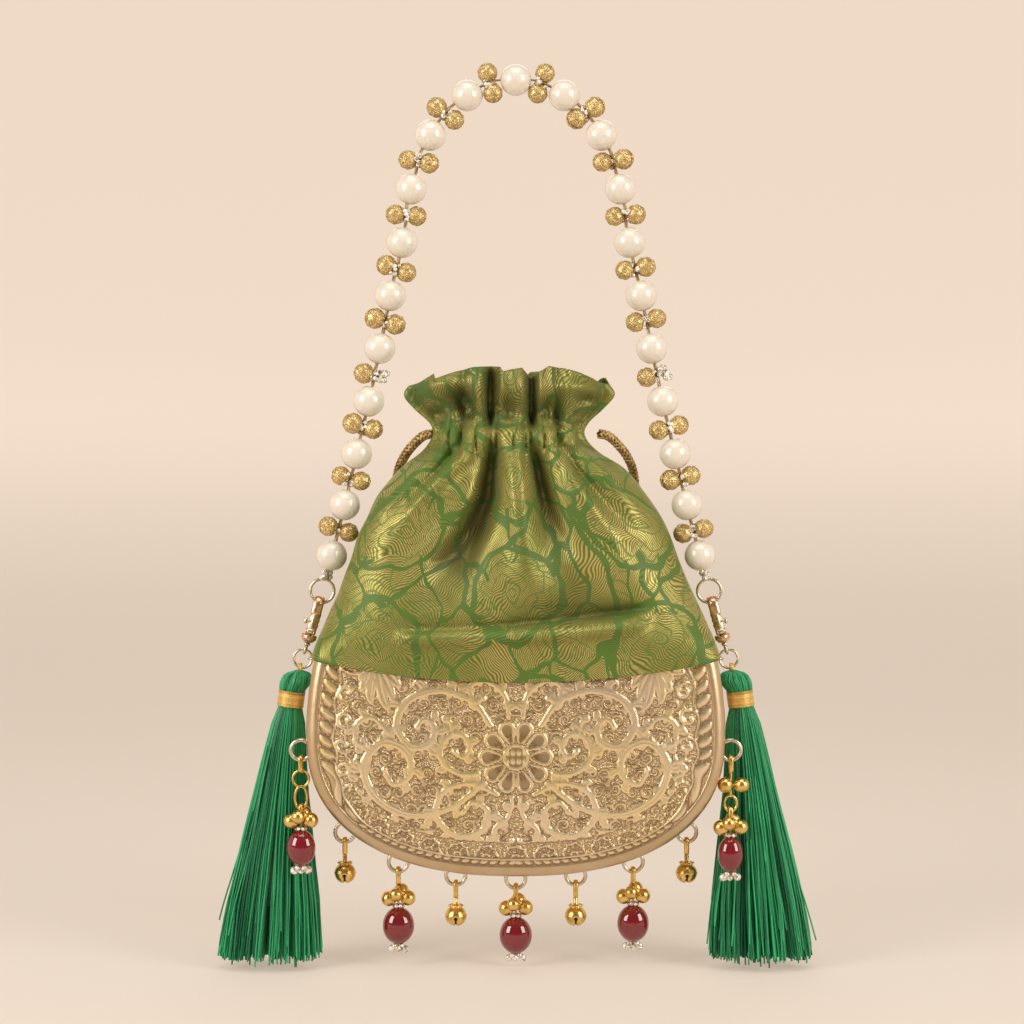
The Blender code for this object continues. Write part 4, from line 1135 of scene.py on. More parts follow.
def make_tassels(random):
    silk = thread_finish("emerald_silk", (0.035, 0.46, 0.17), (0.006, 0.235, 0.085), (0.0, 0.05, 0.022))
    silk.node_tree.nodes["Principled BSDF"].inputs["Sheen Tint"].default_value = (0.3, 1.0, 0.55, 1.0)
    gold = thread_finish("gold_wrap_thread", (0.86, 0.60, 0.20), (0.66, 0.42, 0.11), (0.25, 0.13, 0.03))
    gold.node_tree.nodes["Principled BSDF"].inputs["Metallic"].default_value = 0.55
    for label, side in SIDES:
        body = f"tassel_{label}"
        lines, tones = skirt_lines(side, random)
        skirt = strands("skirt", lines, tones, 0.42, 3, silk)
        core = core_shape(side, TASSEL_SKIRT[:-1], 0.74).mesh("core", "thread_tone")
        core.materials.append(silk)
        piece(f"tassel_skirt_{label}", joined_mesh("skirt", [skirt, core]), None, body, [f"tassel_{label}"])
        lines, tones = head_lines(side, random)
        head = strands("head", lines, tones, 0.34, 5, silk)
        inner = core_shape(side, TASSEL_HEAD, 0.97).mesh("core", "thread_tone")
        inner.materials.append(silk)
        piece(f"tassel_head_{label}", joined_mesh("head", [head, inner]), None, body)

        centre_z, centre_x, half = -277.35, 101.35, 3.5
        count = 15
        turns = np.linspace(0, 2 * pi * count, count * 40)
        climb = np.linspace(half, -half, len(turns))
        radius = 5.75 + 0.12 * np.sin(turns * 0.37)
        lean = radians(7.7)
        wrap = np.column_stack((radius * np.cos(turns), radius * 0.96 * np.sin(turns), climb))
        x = wrap[:, 0] * cos(lean) - side * wrap[:, 2] * sin(lean)
        z = wrap[:, 2] * cos(lean) + side * wrap[:, 0] * sin(lean)
        line = np.column_stack((x + side * centre_x, wrap[:, 1], z + centre_z))
        tones = [0.35, 0.9, 0.6, 0.75, 0.5]
        cut = len(line) // len(tones)
        pieces = [line[i * cut : (i + 1) * cut + 1] for i in range(len(tones))]
        mesh = strands("wrap", pieces, tones, 0.30, 7, gold)
        piece(f"tassel_wrap_{label}", mesh, None, body, [f"tassel_binding_{label}"])

        hang = pivot_of(f"tassel_swing_{label}")
        knots = []
        for lean_y, shift in ((-0.35, -0.5), (0.0, 0.1), (0.3, 0.6)):
            turns = np.linspace(0, 2 * pi, 28)
            loop = np.column_stack(
                (0 * turns + shift, 1.75 * np.cos(turns) + lean_y * np.sin(turns), 1.9 * np.sin(turns) - 0.15)
            )
            knots.append(loop + hang)
        thread = strands("loop", knots, (0.5, 0.8, 0.65), 0.36, 6, gold)
        piece(f"tassel_loop_{label}", thread, None, body)


# ---------------------------------------------------------------- metal shell

# The shell's outline, as in the CAD: a superellipse below its widest height and a slight taper above it.
SHELL_WIDE, SHELL_WIDEST, SHELL_DROP, SHELL_POWER = 92.9, -291.4, 63.0, 2.35
SHELL_TAPER = 3.6 / 33.0**2
SHELL_TOP, PANEL_TOP = -254.5, -255.9
SHELL_HALF_DEPTH, SHELL_WALL, EDGE_ROUND, PANEL_CROWN = 25.0, 1.2, 5.0, 1.9
FLOWER = (0.0, -300.4)


def outline(inset, top, upper=10, lower=150):
    """Points (x, z) round the U from its left top to its right top."""
    heights = np.linspace(top, SHELL_WIDEST, upper, endpoint=False)
    left = np.column_stack((-(SHELL_WIDE - inset - SHELL_TAPER * (heights - SHELL_WIDEST) ** 2), heights))
    turns = pi * np.arange(lower + 1) / lower
    across, fall = np.cos(turns), np.sin(turns)
    size = (np.abs(across) ** SHELL_POWER + fall**SHELL_POWER) ** (-1 / SHELL_POWER)
    bottom = np.column_stack(
        (-(SHELL_WIDE - inset) * across * size, SHELL_WIDEST - (SHELL_DROP - inset) * fall * size)
    )
    return np.vstack((left, bottom, (left * (-1, 1))[::-1]))


def spaced_line(line, count):
    """The same line with evenly spaced points."""
    steps = np.concatenate(([0.0], np.cumsum(np.linalg.norm(np.diff(line, axis=0), axis=1))))
    at = np.linspace(0, steps[-1], count)
    return np.column_stack([np.interp(at, steps, line[:, axis]) for axis in range(line.shape[1])])


def patch(edge, columns, rows):
    """A grid of points that fills the U: its top row is straight and its other edges follow the outline."""
    edge = spaced_line(edge, 2001)
    side = 520  # how far down the outline, of 2000 steps, the patch's lower corners are
    left, bottom, right = spaced_line(edge[: side + 1], rows), edge[side : 2001 - side], edge[2000 - side :][::-1]
    bottom, right = spaced_line(bottom, columns), spaced_line(right, rows)
    top = np.column_stack((np.linspace(left[0, 0], right[0, 0], columns), np.full(columns, left[0, 1])))
    u = np.linspace(0, 1, columns)[None, :, None]
    v = np.linspace(0, 1, rows)[:, None, None]
    sides = left[:, None] * (1 - u) + right[:, None] * u
    ends = top[None] * (1 - v) + bottom[None] * v
    corners = (left[0] * (1 - u) + right[0] * u) * (1 - v) + (left[-1] * (1 - u) + right[-1] * u) * v
    return sides + ends - corners


def emboss(relief, spots, line, widths, rise, crease=0.0):
    """Raises a rounded ridge along a line. The crease is a groove down its middle."""
    line = np.asarray(line, float)
    widths = np.interp(np.linspace(0, 1, len(line)), np.linspace(0, 1, len(widths)), widths)
    reach = widths.max() + 0.1
    low, high = line.min(0) - reach, line.max(0) + reach
    near = np.flatnonzero(((spots > low) & (spots < high)).all(1))
    if not len(near):
        return
    start, along = line[:-1], np.diff(line, axis=0)
    offset = spots[near][:, None] - start[None]
    share = np.clip((offset * along).sum(2) / np.maximum((along**2).sum(1), 1e-9), 0, 1)
    far = np.linalg.norm(offset - share[..., None] * along, axis=2)
    wide = widths[:-1] * (1 - share) + widths[1:] * share
    ratio = far / np.maximum(wide, 1e-6)
    best = ratio.argmin(1)
    rows = np.arange(len(near))
    ratio, wide = ratio[rows, best], wide[rows, best]
    ridge = rise * np.sqrt(np.clip(1 - ratio**2, 0, 1)) * np.minimum(1.0, wide / 0.8)
    if crease:
        ridge -= crease * np.exp(-((ratio / 0.28) ** 2)) * (ratio < 1)
    relief[near] = np.maximum(relief[near], ridge)


def leaf_line(start, bend, end, count=9):
    """A quadratic curve from start to end that leans towards bend."""
    t = np.linspace(0, 1, count)[:, None]
    start, bend, end = (np.asarray(point, float) for point in (start, bend, end))
    return start * (1 - t) ** 2 + 2 * bend * t * (1 - t) + end * t**2


def acanthus(relief, spots, points, lobes, reach, stem=1.3, hand=1):
    """A scroll: a creased stem along the points, with curled lobes down its outer side."""
    line = smooth_line(points, 70)
    emboss(relief, spots, line, [stem * 0.9, stem * 1.4, stem * 1.35, stem * 0.7], 0.85, 0.3)
    ways = np.gradient(line, axis=0)
    ways /= np.linalg.norm(ways, axis=1)[:, None]
    for number in range(lobes):
        at = int((0.10 + 0.74 * number / max(lobes - 1, 1)) * (len(line) - 1))
        way = ways[at]
        out = np.array((-way[1], way[0])) * hand
        size = reach * (0.62 + 0.38 * sin(pi * number / max(lobes - 1, 1)))
        start = line[at] + out * stem * 0.7
        end = start + way * size * 0.75 + out * size * 0.95
        bend = start + out * size * 0.95 - way * size * 0.05
        emboss(relief, spots, leaf_line(start, bend, end), [1.2, 2.2, 1.9, 0.6], 0.72, 0.3)
        inner = line[at] - out * stem * 0.6
        tip = inner + way * size * 0.5 - out * size * 0.42
        emboss(relief, spots, leaf_line(inner, inner - out * size * 0.4, tip), [0.7, 1.3, 0.45], 0.55, 0.15)
    curl = line[-1]
    turns = np.linspace(0, 2 * pi, 20)
    for radius, width in ((0.9, 0.95),):
        emboss(relief, spots, curl + radius * 0.4 * np.column_stack((np.cos(turns), np.sin(turns))), [width], 0.9)


# Scrolls on the half at +X, as given points (x, z): the line, how many lobes, their reach, the stem's
# half width and the side that the lobes grow on.
SCROLLS = [
    ([(10, -288), (19, -276), (33, -271), (47, -275), (52.5, -286), (46, -295.5), (37.5, -293.5), (36, -287),
      (40, -283.5), (43.5, -287)], 9, 5.6, 1.35, 1),
    ([(14, -307), (24, -308), (32.5, -302), (32, -293.5), (25, -290), (20.2, -295), (23, -300.5), (27, -298)],
     6, 3.0, 1.1, -1),
    ([(13, -311), (29, -323), (47, -326), (62, -318), (67, -304), (59, -294), (48.5, -297.5), (46.5, -308),
      (54, -312.5), (58, -306)], 10, 5.2, 1.45, -1),
    ([(8, -317), (20, -312), (32, -316), (35, -327), (26, -335.5), (15, -333), (12.5, -324.5), (19, -320.5),
      (23.5, -325)], 7, 3.9, 1.15, 1),
    ([(1.5, -318), (3.5, -327), (9.5, -333), (6.5, -340), (1.8, -337.5)], 4, 2.8, 0.9, 1),
    ([(3, -284), (5, -273), (13, -266.5), (20, -269), (18.5, -275.5), (14, -274.5)], 5, 3.4, 1.0, 1),
    ([(30, -282), (27, -290)], 2, 2.0, 0.7, 1),
    ([(56, -290), (63, -283), (70, -286), (70, -294), (65, -295)], 4, 3.2, 0.95, 1),
    ([(70, -300), (74, -309), (70, -319), (62, -327)], 4, 3.0, 0.85, -1),
    ([(36, -333), (47, -333.5), (56, -328)], 3, 2.6, 0.8, -1),
]


def filler(relief, spots, random):
    """Small curls and leaves, one in each place of a loose grid, for the ground between the scrolls."""
    for row in range(11):
        for column in range(12):
            middle = np.array((3.0 + 7.4 * column + 3.7 * (row % 2), -262.0 - 7.6 * row)) + random.uniform(-1, 1, 2)
            start, hand = random.uniform(0, 2 * pi), random.choice((-1, 1))
            turns = np.linspace(0, 1, 22)
            radius = 3.3 * (1 - 0.78 * turns)
            angle = start + hand * turns * 2.3 * pi
            curl = middle + radius[:, None] * np.column_stack((np.cos(angle), np.sin(angle)))
            emboss(relief, spots, curl, [0.35, 0.8, 0.75, 0.6], 0.5)
            way = np.array((cos(start), sin(start)))
            side = np.array((-way[1], way[0])) * hand
            root = middle + way * 3.4
            emboss(relief, spots, leaf_line(root, root + way * 1.6 - side * 1.4, root - side * 4.2), [0.5, 1.1, 0.3], 0.5, 0.2)


def corner_palmette(relief, spots):
    """A fan of curled leaves that hangs below the hem near each upper corner."""
    root = np.array((61.0, -260.0))
    for number, angle in enumerate(np.radians((-168, -146, -122, -96, -70, -46, -22))):
        way = np.array((cos(angle), sin(angle)))
        across = np.array((-way[1], way[0]))
        curl = 1 if number < 3 else -1
        size = (10.5, 13.5, 17.0, 20.0, 16.5, 12.5, 9.5)[number]
        end = root + way * size + across * curl * 2.6
        emboss(relief, spots, leaf_line(root, root + way * size * 0.7, end), [0.9, 2.3, 2.5, 0.7], 0.85, 0.4)
    turns = np.radians(np.linspace(185, 350, 26))
    for radius in (4.0, 6.6):
        arc = root + (10.0, 3.0) + radius * np.column_stack((np.cos(turns), np.sin(turns)))
        emboss(relief, spots, arc, [0.5, 1.0, 0.5], 0.75)


def flower(relief, spots):
    """The middle flower: ten dished petals with raised rims, round a beaded disc."""
    offset = spots - FLOWER
    radius, turn = np.hypot(*offset.T), np.arctan2(offset[:, 1], offset[:, 0])
    step = 2 * pi / 10
    swing = (turn - pi / 2 + step) % step - step / 2
    along, across = radius * np.cos(swing), np.abs(radius * np.sin(swing))
    half = 3.9 * np.clip((along - 5.6) / 6.8, 0, 1) ** 0.55
    tip = np.hypot(np.maximum(along - 12.6, 0), across)
    inside = np.where(along < 12.6, half - across, 3.9 - tip)
    petal = (inside > 0) * (along > 5.4)
    rim = np.exp(-(((inside - 0.62) / 0.42) ** 2))
    veins = 0.10 * np.cos(across * 4.2) * np.clip((12.5 - along) / 5, 0, 1)
    height = petal * (0.28 + 0.62 * rim + veins - 0.16 * np.exp(-((along - 7.5) ** 2) / 6))
    relief[:] = np.where(radius < 17.5, np.maximum(height, relief * (radius > 16.9)), relief)
    ring_height = 0.95 * np.exp(-(((radius - 5.3) / 0.5) ** 2))
    beads = 0.45 * (np.cos(spots[:, 0] * 3.9) * np.cos(spots[:, 1] * 3.9)) ** 2 + 0.25
    relief[:] = np.where(radius < 6.2, np.maximum(ring_height, beads * (radius < 4.8)), relief)


def border(relief, inset, run):
    """The edge: a leaf and rope band, a raised line, and half rosettes inside it that turn to curls up the sides."""
    side = np.clip((np.abs(run) - 74) / 40, 0, 1)
    side = side * side * (3 - 2 * side)
    line = 8.4 + 4.6 * side + 0.8 * side * np.sin(run * 0.36)
    between = (inset > 5.9) & (inset < line - 0.5)
    share = np.clip((inset - 5.9) / (line - 6.4), 0, 1)
    slant = run + np.sign(run) * share * (1.5 + 2.6 * side)
    pitch = 4.3 + 2.2 * side
    leaf = np.abs(np.sin(pi * slant / pitch)) ** 0.7 - 0.35 * np.exp(-((np.sin(pi * slant / pitch + 0.9)) ** 2) / 0.05)
    relief[:] = np.where(between, np.clip(0.62 * leaf * np.sin(pi * np.clip(share, 0.03, 0.97)) ** 0.5, 0, 1), relief)
    relief[:] = np.maximum(relief, 0.7 * np.exp(-(((inset - line) / 0.42) ** 2)))
    step = 13.6
    local = (run + step / 2) % step - step / 2
    rise = inset - line - 0.6 - 3.4 * side
    radius, turn = np.hypot(local, rise), np.arctan2(rise, local)
    rosette = 0.72 * np.exp(-(((radius - 5.3 - 0.35 * np.cos(9 * turn)) / 0.5) ** 2))
    rosette += 0.6 * np.exp(-(((radius - 1.6) / 0.5) ** 2)) + 0.5 * np.exp(-((radius / 0.7) ** 2))
    rosette += 0.34 * np.clip(np.cos(9 * turn), 0, 1) * (np.abs(radius - 3.5) < 1.2)
    curl = 0.85 * np.clip(np.cos(turn * np.sign(run + 1e-9) + radius * 1.35), 0, 1) ** 0.8 * (radius < 4.9)
    half = (rise > 0) | (side > 0.5)
    motif = np.where(side > 0.5, curl, rosette) * half * (radius < 6.1) * (inset > line + 0.3)
    relief[:] = np.where(motif > 0.05, motif, relief)


def relief_over(spots, edge):
    """The height of the embossing at each spot (x, z), from 0 for the ground."""
    relief = np.zeros(len(spots))
    folded = np.column_stack((np.abs(spots[:, 0]), spots[:, 1]))
    filler(relief, folded, np.random.default_rng(11))
    for points, lobes, reach, stem, hand in SCROLLS:
        acanthus(relief, folded, points, lobes, reach, stem, hand)
    corner_palmette(relief, folded)
    flower(relief, spots)
    line = spaced_line(edge, 700)
    length = np.concatenate(([0.0], np.cumsum(np.linalg.norm(np.diff(line, axis=0), axis=1))))
    run = length - length[-1] / 2
    inset, place = np.empty(len(spots)), np.empty(len(spots))
    for first in range(0, len(spots), 8000):
        some = spots[first : first + 8000]
        far = np.hypot(some[:, None, 0] - line[None, :, 0], some[:, None, 1] - line[None, :, 1])
        best = far.argmin(1)
        inset[first : first + 8000] = far[np.arange(len(some)), best]
        place[first : first + 8000] = run[best]
    near = inset < 20.5
    edge_relief = np.zeros(near.sum())
    border(edge_relief, inset[near], place[near])
    kept = np.where(inset[near] > 15.8, np.maximum(relief[near], edge_relief), edge_relief)
    relief[near] = kept
    return relief, inset


def shell_gold_finish():
    """Champagne gold sheet, stippled between the embossing. The grooves and stipple pits are darkened as patina and
    painted shade, and the crests are lightened as a painted highlight.
    """
    finish = Finish("embossed_champagne_gold", {"Metallic": 0.92})
    relief = finish.attribute("relief")
    patches = finish.noise(28.0, 4, 0.6)
    fine = finish.noise(700.0, 4, 0.65)
    dots = finish.cells(1250.0).rise(0.08, 0.6)
    ground = relief.rise(0.30, 0.06)
    foot = relief.rise(0.02, 0.16) * relief.rise(0.46, 0.16)
    crest_highlight = relief.rise(0.5, 0.95)
    pits = dots * ground
    base = finish.blend(patches.rise(0.38, 0.66), (0.84, 0.66, 0.43), (0.88, 0.67, 0.31))
    base = finish.blend(ground, base, (0.72, 0.54, 0.32))
    # The stipple pits and the feet of the ridges are darkened: patina and painted shade.
    base = finish.blend(pits * 0.5, base, (0.26, 0.16, 0.07))
    base = finish.blend(foot * 0.95, base, (0.26, 0.155, 0.075))
    # The crests are lightened: a painted highlight.
    base = finish.blend(crest_highlight * 0.6, base, (0.93, 0.77, 0.52))
    finish.feed("Base Color", finish.blend(fine.rise(0.55, 0.8) * 0.3, base, (0.30, 0.19, 0.10)))
    finish.feed("Roughness", fine * 0.2 + 0.24 + ground * 0.08)
    finish.bump(1 - pits + fine * 0.35, 0.22, 0.9)
    return finish.material


def band_gold_finish():
    finish = Finish("rolled_champagne_gold", {"Metallic": 0.95})
    relief = finish.attribute("relief")
    patches = finish.noise(60.0, 4, 0.6)
    fine = finish.noise(900.0, 4, 0.6)
    base = finish.blend(patches.rise(0.35, 0.68), (0.84, 0.67, 0.44), (0.74, 0.55, 0.32))
    # The low ground between the raised lines and the band's inner wall are darkened: patina and painted shade.
    base = finish.blend(relief.rise(0.25, 0.0) * 0.45, base, (0.34, 0.22, 0.11))
    finish.feed("Base Color", finish.blend(fine.rise(0.55, 0.8) * 0.35, base, (0.28, 0.18, 0.09)))
    finish.feed("Roughness", fine * 0.18 + 0.24)
    finish.bump(fine + patches, 0.05)
    return finish.material


def make_panel(name, facing, gold):
    """An embossed plate that fills the band's edge, with its rim turned in."""
    columns, rows = 292, 150
    edge = outline(EDGE_ROUND + 0.1, PANEL_TOP)
    grid = patch(edge, columns, rows)
    spots = grid.reshape(-1, 2)
    relief, inset = relief_over(spots, outline(0.0, PANEL_TOP))
    away = np.clip(1 - (inset - EDGE_ROUND) / 46, 0, 1)
    crown = PANEL_CROWN * (1 - away**2)
    seam = 0.9 * np.exp(-((inset - EDGE_ROUND) / 0.55))
    depth = facing * (SHELL_HALF_DEPTH + crown + relief * 1.1 - seam)
    points = np.column_stack((spots[:, 0], depth, spots[:, 1]))
    faces = grid_faces(rows, columns)
    if facing > 0:
        faces = [tuple(reversed(face)) for face in faces]
    plate = Shape().add(points, faces, relief)
    mesh = plate.mesh(name, "relief")
    shell = bmesh.new()
    shell.from_mesh(mesh)
    rim = [e for e in shell.edges if e.is_boundary]
    made = bmesh.ops.extrude_edge_only(shell, edges=rim)["geom"]
    bmesh.ops.translate(
        shell, verts=[v for v in made if isinstance(v, bmesh.types.BMVert)], vec=(0, -facing * SHELL_WALL * MM, 0)
    )
    shell.to_mesh(mesh)
    shell.free()
    mesh.shade_smooth()
    piece(f"{name}_plate", mesh, gold, "bag", [name])


def make_band(gold, champagne):
    """The side band: rounded edges, two moulded lines and a shallow running leaf between them."""
    section = []
    for lean in np.radians(np.linspace(0, 90, 9)):
        section.append((EDGE_ROUND - EDGE_ROUND * sin(lean), -20.0 - EDGE_ROUND * cos(lean)))
    section += [(0.0, y) for y in np.linspace(-20, 20, 41)[1:-1]]
    section += [(inset, -y) for inset, y in section[8::-1]]
    count = 270
    base = spaced_line(outline(0.0, SHELL_TOP), count)
    run = np.linspace(0, 1, count) * 390
    rows = []
    for inset, y in section:
        line = spaced_line(outline(inset, SHELL_TOP), count)
        rows.append(np.column_stack((line[:, 0], np.full(count, y), line[:, 1])))
    outer = np.array(rows)
    way = np.gradient(base, axis=0)
    out = np.column_stack((way[:, 1], -way[:, 0]))
    out /= np.linalg.norm(out, axis=1)[:, None]
    out *= np.sign((out * (base - (0.0, SHELL_WIDEST))).sum(1))[:, None]
    across = outer[:, :, 1]
    vine = np.exp(-(((across - 5.0 * np.sin(run * 2 * pi / 26)) / 1.0) ** 2))
    petals = np.clip(np.cos(run * 2 * pi / 6.5 + across * 0.5), 0, 1) ** 1.5 * (np.abs(across) < 13.5)
    lines = sum(np.exp(-(((across - y) / 0.7) ** 2)) for y in (-16.2, 16.2))
    height = (np.maximum(vine, 0.75 * petals) + lines) * (np.abs(across) < 18.5)
    outer[:, :, 0] += 0.32 * height * out[:, 0]
    outer[:, :, 2] += 0.32 * height * out[:, 1]
    inner = []
    for inset, y in section:
        line = spaced_line(outline(inset + SHELL_WALL, SHELL_TOP), count)
        inner.append(np.column_stack((line[:, 0], np.full(count, y * (1 - 0.6 / 25)), line[:, 1])))
    rows = np.concatenate((outer, np.array(inner)[::-1], outer[:1]))
    values = np.concatenate((height, np.zeros_like(height), height[:1]))
    band = Shape().add(rows.reshape(-1, 3), grid_faces(len(rows), count), values.ravel())
    mesh = outward(band.mesh("band", "relief"))
    piece("side_band_gold", mesh, gold, "bag", ["side_band"])

    rings = Shape()
    for centre in rim_ring_centres():
        rings.add_shape(ring(centre, (0, 1, 0), 4.4, 0.92, 56, 14))
        rings.add_shape(wire([centre + (0, -0.9, 0), centre + (0, 0.9, 0)], 0.01, 4))
    for label, side in SIDES:
        rings.add_shape(ring((91.3 * side, 0.0, node_centre(f"bag_ring_{label}")[2]), (0, 0, 1), 2.0, 0.6, 36, 12))
    piece("soldered_rings", rings.mesh("rings"), champagne, "bag")


def rim_ring_centres():
    """Each charm's ring is centred one ring radius above the point where the charm hangs."""
    names = [f"drop_swing_{n}" for n in (1, 2, 3)] + [f"bell_swing_{n}" for n in (1, 2, 3, 4)]
    names += [f"chain_swing_{label}" for label, _ in SIDES]
    return [pivot_of(name) + (0.0, 0.0, 4.4) for name in names]


# ---------------------------------------------------------------- pouch

# Sections of the cloth: height, half width, half depth, squareness and how far the middle is shifted.
POUCH_SECTIONS = [
    (-268.0, 91.6, 28.9, 12.0, 0.0), (-258.2, 90.8, 28.9, 11.0, 0.0), (-252.0, 89.2, 28.6, 9.0, 0.0),
    (-244.0, 86.0, 28.4, 5.0, 0.0), (-230.5, 80.2, 27.4, 3.4, 0.0), (-217.0, 74.6, 26.2, 2.8, -0.4),
    (-205.0, 70.6, 24.8, 2.5, -0.6), (-196.0, 66.4, 23.6, 2.4, -0.8), (-185.0, 60.0, 21.8, 2.3, -1.6),
    (-174.4, 51.2, 18.6, 2.2, -1.4), (-166.0, 39.8, 15.6, 2.1, -2.6), (-159.0, 34.4, 14.2, 2.0, -3.2),
    (-153.5, 35.6, 14.6, 2.0, -3.1), (-147.0, 42.6, 17.6, 2.0, -3.0), (-140.6, 47.4, 20.0, 2.0, -3.0),
    (-135.0, 44.2, 20.6, 2.0, -2.6), (-127.0, 39.5, 20.6, 2.0, -2.0),
]
HEM_SIDE, HEM_SAG = -257.6, 9.6
CLOTH = 0.8
# The frill's top edge on the front, as (x, z).
FRILL_EDGE = [
    (-50.0, -138.5), (-46.0, -134.6), (-41.6, -131.2), (-38.9, -133.4), (-30.0, -130.2), (-22.7, -128.6),
    (-14.0, -128.1), (-8.5, -128.4), (-6.8, -130.4), (-3.0, -129.6), (2.6, -128.8), (7.4, -133.2),
    (10.5, -131.0), (16.4, -128.0), (24.0, -129.0), (31.0, -130.6), (38.0, -133.4), (44.6, -137.4),
]
# Pleat lines down the gathered channel, front and back, as x.
PLEATS = {
    -1: (-33.5, -29.5, -24.7, -17.5, -11.3, -8.9, -1.0, 4.5, 6.3, 12.6, 19.0, 26.5),
    1: (-34, -27.0, -21.3, -15.8, -10.2, -5.6, 1.4, 6.9, 11.2, 17.3, 23.4, 28.0),
}
# Folds of the body: rows of (z, x, half width, height). A negative height is a valley.
FOLDS = {
    -1: [
        [(-160, -17.5, 4.0, 2.0), (-170, -24, 5.0, 4.5), (-184, -40, 7.5, 5.5), (-200, -55, 10, 4.0), (-226, -66, 13, 0.5)],
        [(-160, -0.5, 3.0, 1.5), (-170, -0.5, 4.6, 5.0), (-190, 1.5, 5.6, 5.4), (-210, 3.5, 6.5, 3.6), (-234, 5, 9, 0.5)],
        [(-160, 13.0, 3.5, 1.5), (-170, 18.5, 5.0, 4.0), (-184, 28, 7.5, 4.6), (-200, 40, 11, 3.6), (-226, 54, 14, 0.4)],
        [(-160, 24, 3.0, 1.0), (-172, 35, 4.0, 2.8), (-190, 51, 6.0, 2.2), (-212, 63, 8, 0.2)],
        [(-160, -30, 3.0, 1.0), (-172, -40, 4.0, 2.6), (-190, -57, 6.0, 2.0), (-212, -68, 8, 0.2)],
        [(-160, -10, 2.6, -1.0), (-170, -11, 3.6, -6.5), (-186, -13, 5.0, -9.5), (-200, -19, 7.0, -9.5),
         (-214, -27, 9.5, -7.5), (-228, -31, 11, -2.6), (-238, -33, 12, 0)],
        [(-160, 7.4, 2.2, -1.0), (-171, 9.6, 3.0, -6.0), (-184, 12.4, 4.0, -7.5), (-198, 15.6, 5.0, -5.0),
         (-214, 19, 7.0, -1.6), (-226, 21, 8, 0)],
        [(-162, 20, 2.0, -1.4), (-174, 27, 2.8, -2.8), (-190, 40, 4.5, -2.4), (-208, 53, 7, -0.2)],
        [(-162, -25, 2.0, -1.4), (-174, -34, 2.8, -2.6), (-190, -49, 4.5, -2.2), (-208, -62, 7, -0.2)],
        [(-214, 30, 8, 0.2), (-226, 28, 14, -2.6), (-235, 27, 20, -4.2), (-240, 27, 24, -3.6)],
        [(-205, 46, 10, 0.4), (-216, 48, 13, 2.6), (-228, 50, 14, 1.6), (-238, 50, 12, 0)],
    ],
    1: [
        [(-160, -20, 4.0, 2.0), (-172, -26, 5.5, 4.5), (-190, -42, 8.5, 4.5), (-222, -58, 13, 0.6)],
        [(-160, -4, 3.2, 2.0), (-172, -5, 5.0, 5.0), (-196, -9, 7.0, 4.4), (-236, -14, 11, 0.4)],
        [(-160, 10, 3.5, 2.0), (-172, 13, 5.0, 4.6), (-196, 20, 8.0, 4.2), (-230, 30, 13, 0.4)],
        [(-160, 22, 3.4, 1.4), (-174, 33, 5.0, 3.6), (-196, 50, 8.0, 3.0), (-222, 60, 11, 0.3)],
        [(-160, -12, 2.6, -1.0), (-172, -15, 4.0, -6.0), (-194, -24, 7.0, -7.0), (-222, -34, 11, -2.0), (-238, -36, 12, 0)],
        [(-160, 3, 2.4, -1.0), (-172, 4, 3.6, -5.5), (-194, 6, 5.5, -6.4), (-220, 8, 9, -2.0), (-236, 9, 10, 0)],
        [(-160, 16, 2.4, -1.0), (-174, 22, 3.6, -4.0), (-196, 35, 6.0, -4.4), (-222, 45, 9, -0.8)],
    ],
}


def eased(value, low, high):
    share = np.clip((value - low) / (high - low), 0, 1)
    return share * share * (3 - 2 * share)


def fold_height(x, z, facing):
    """How far the cloth stands out from its section, on the front (facing -1) or the back (1)."""
    height = np.zeros_like(x)
    for rows in FOLDS[facing]:
        table = np.array(rows, float)[::-1]
        middle, half, rise = (np.interp(z, table[:, 0], table[:, column]) for column in (1, 2, 3))
        inside = eased(z, table[0, 0] - 6, table[0, 0] + 4)
        shape = np.exp(-(np.abs((x - middle) / half) ** (2.0 if rise.max() > 0 else 2.6)))
        height += 1.3 * rise * shape * inside
    lines = np.array(PLEATS[facing], float)
    between = np.clip(np.searchsorted(lines, x.ravel()).reshape(x.shape), 1, len(lines) - 1)
    low, high = lines[between - 1], lines[between]
    share = np.clip((x - low) / (high - low), 0, 1)
    puff = np.sqrt(np.clip(1 - (2 * share - 1) ** 2, 0, 1))
    size = np.minimum(1.0 * (high - low), 5.2)
    gathered = eased(z, -178, -166) * eased(z, -145, -155)
    tight = 0.65 + 0.35 * np.cos((z + 161) * pi / 9)
    height += gathered * (puff - 0.75) * size * tight * (1.0 + 0.5 * eased(z, -166, -172))
    height += 1.3 * np.exp(-(((z + 161) / 5.0) ** 2)) - 1.5 * np.exp(-(((z + 154.2) / 2.0) ** 2))
    return height


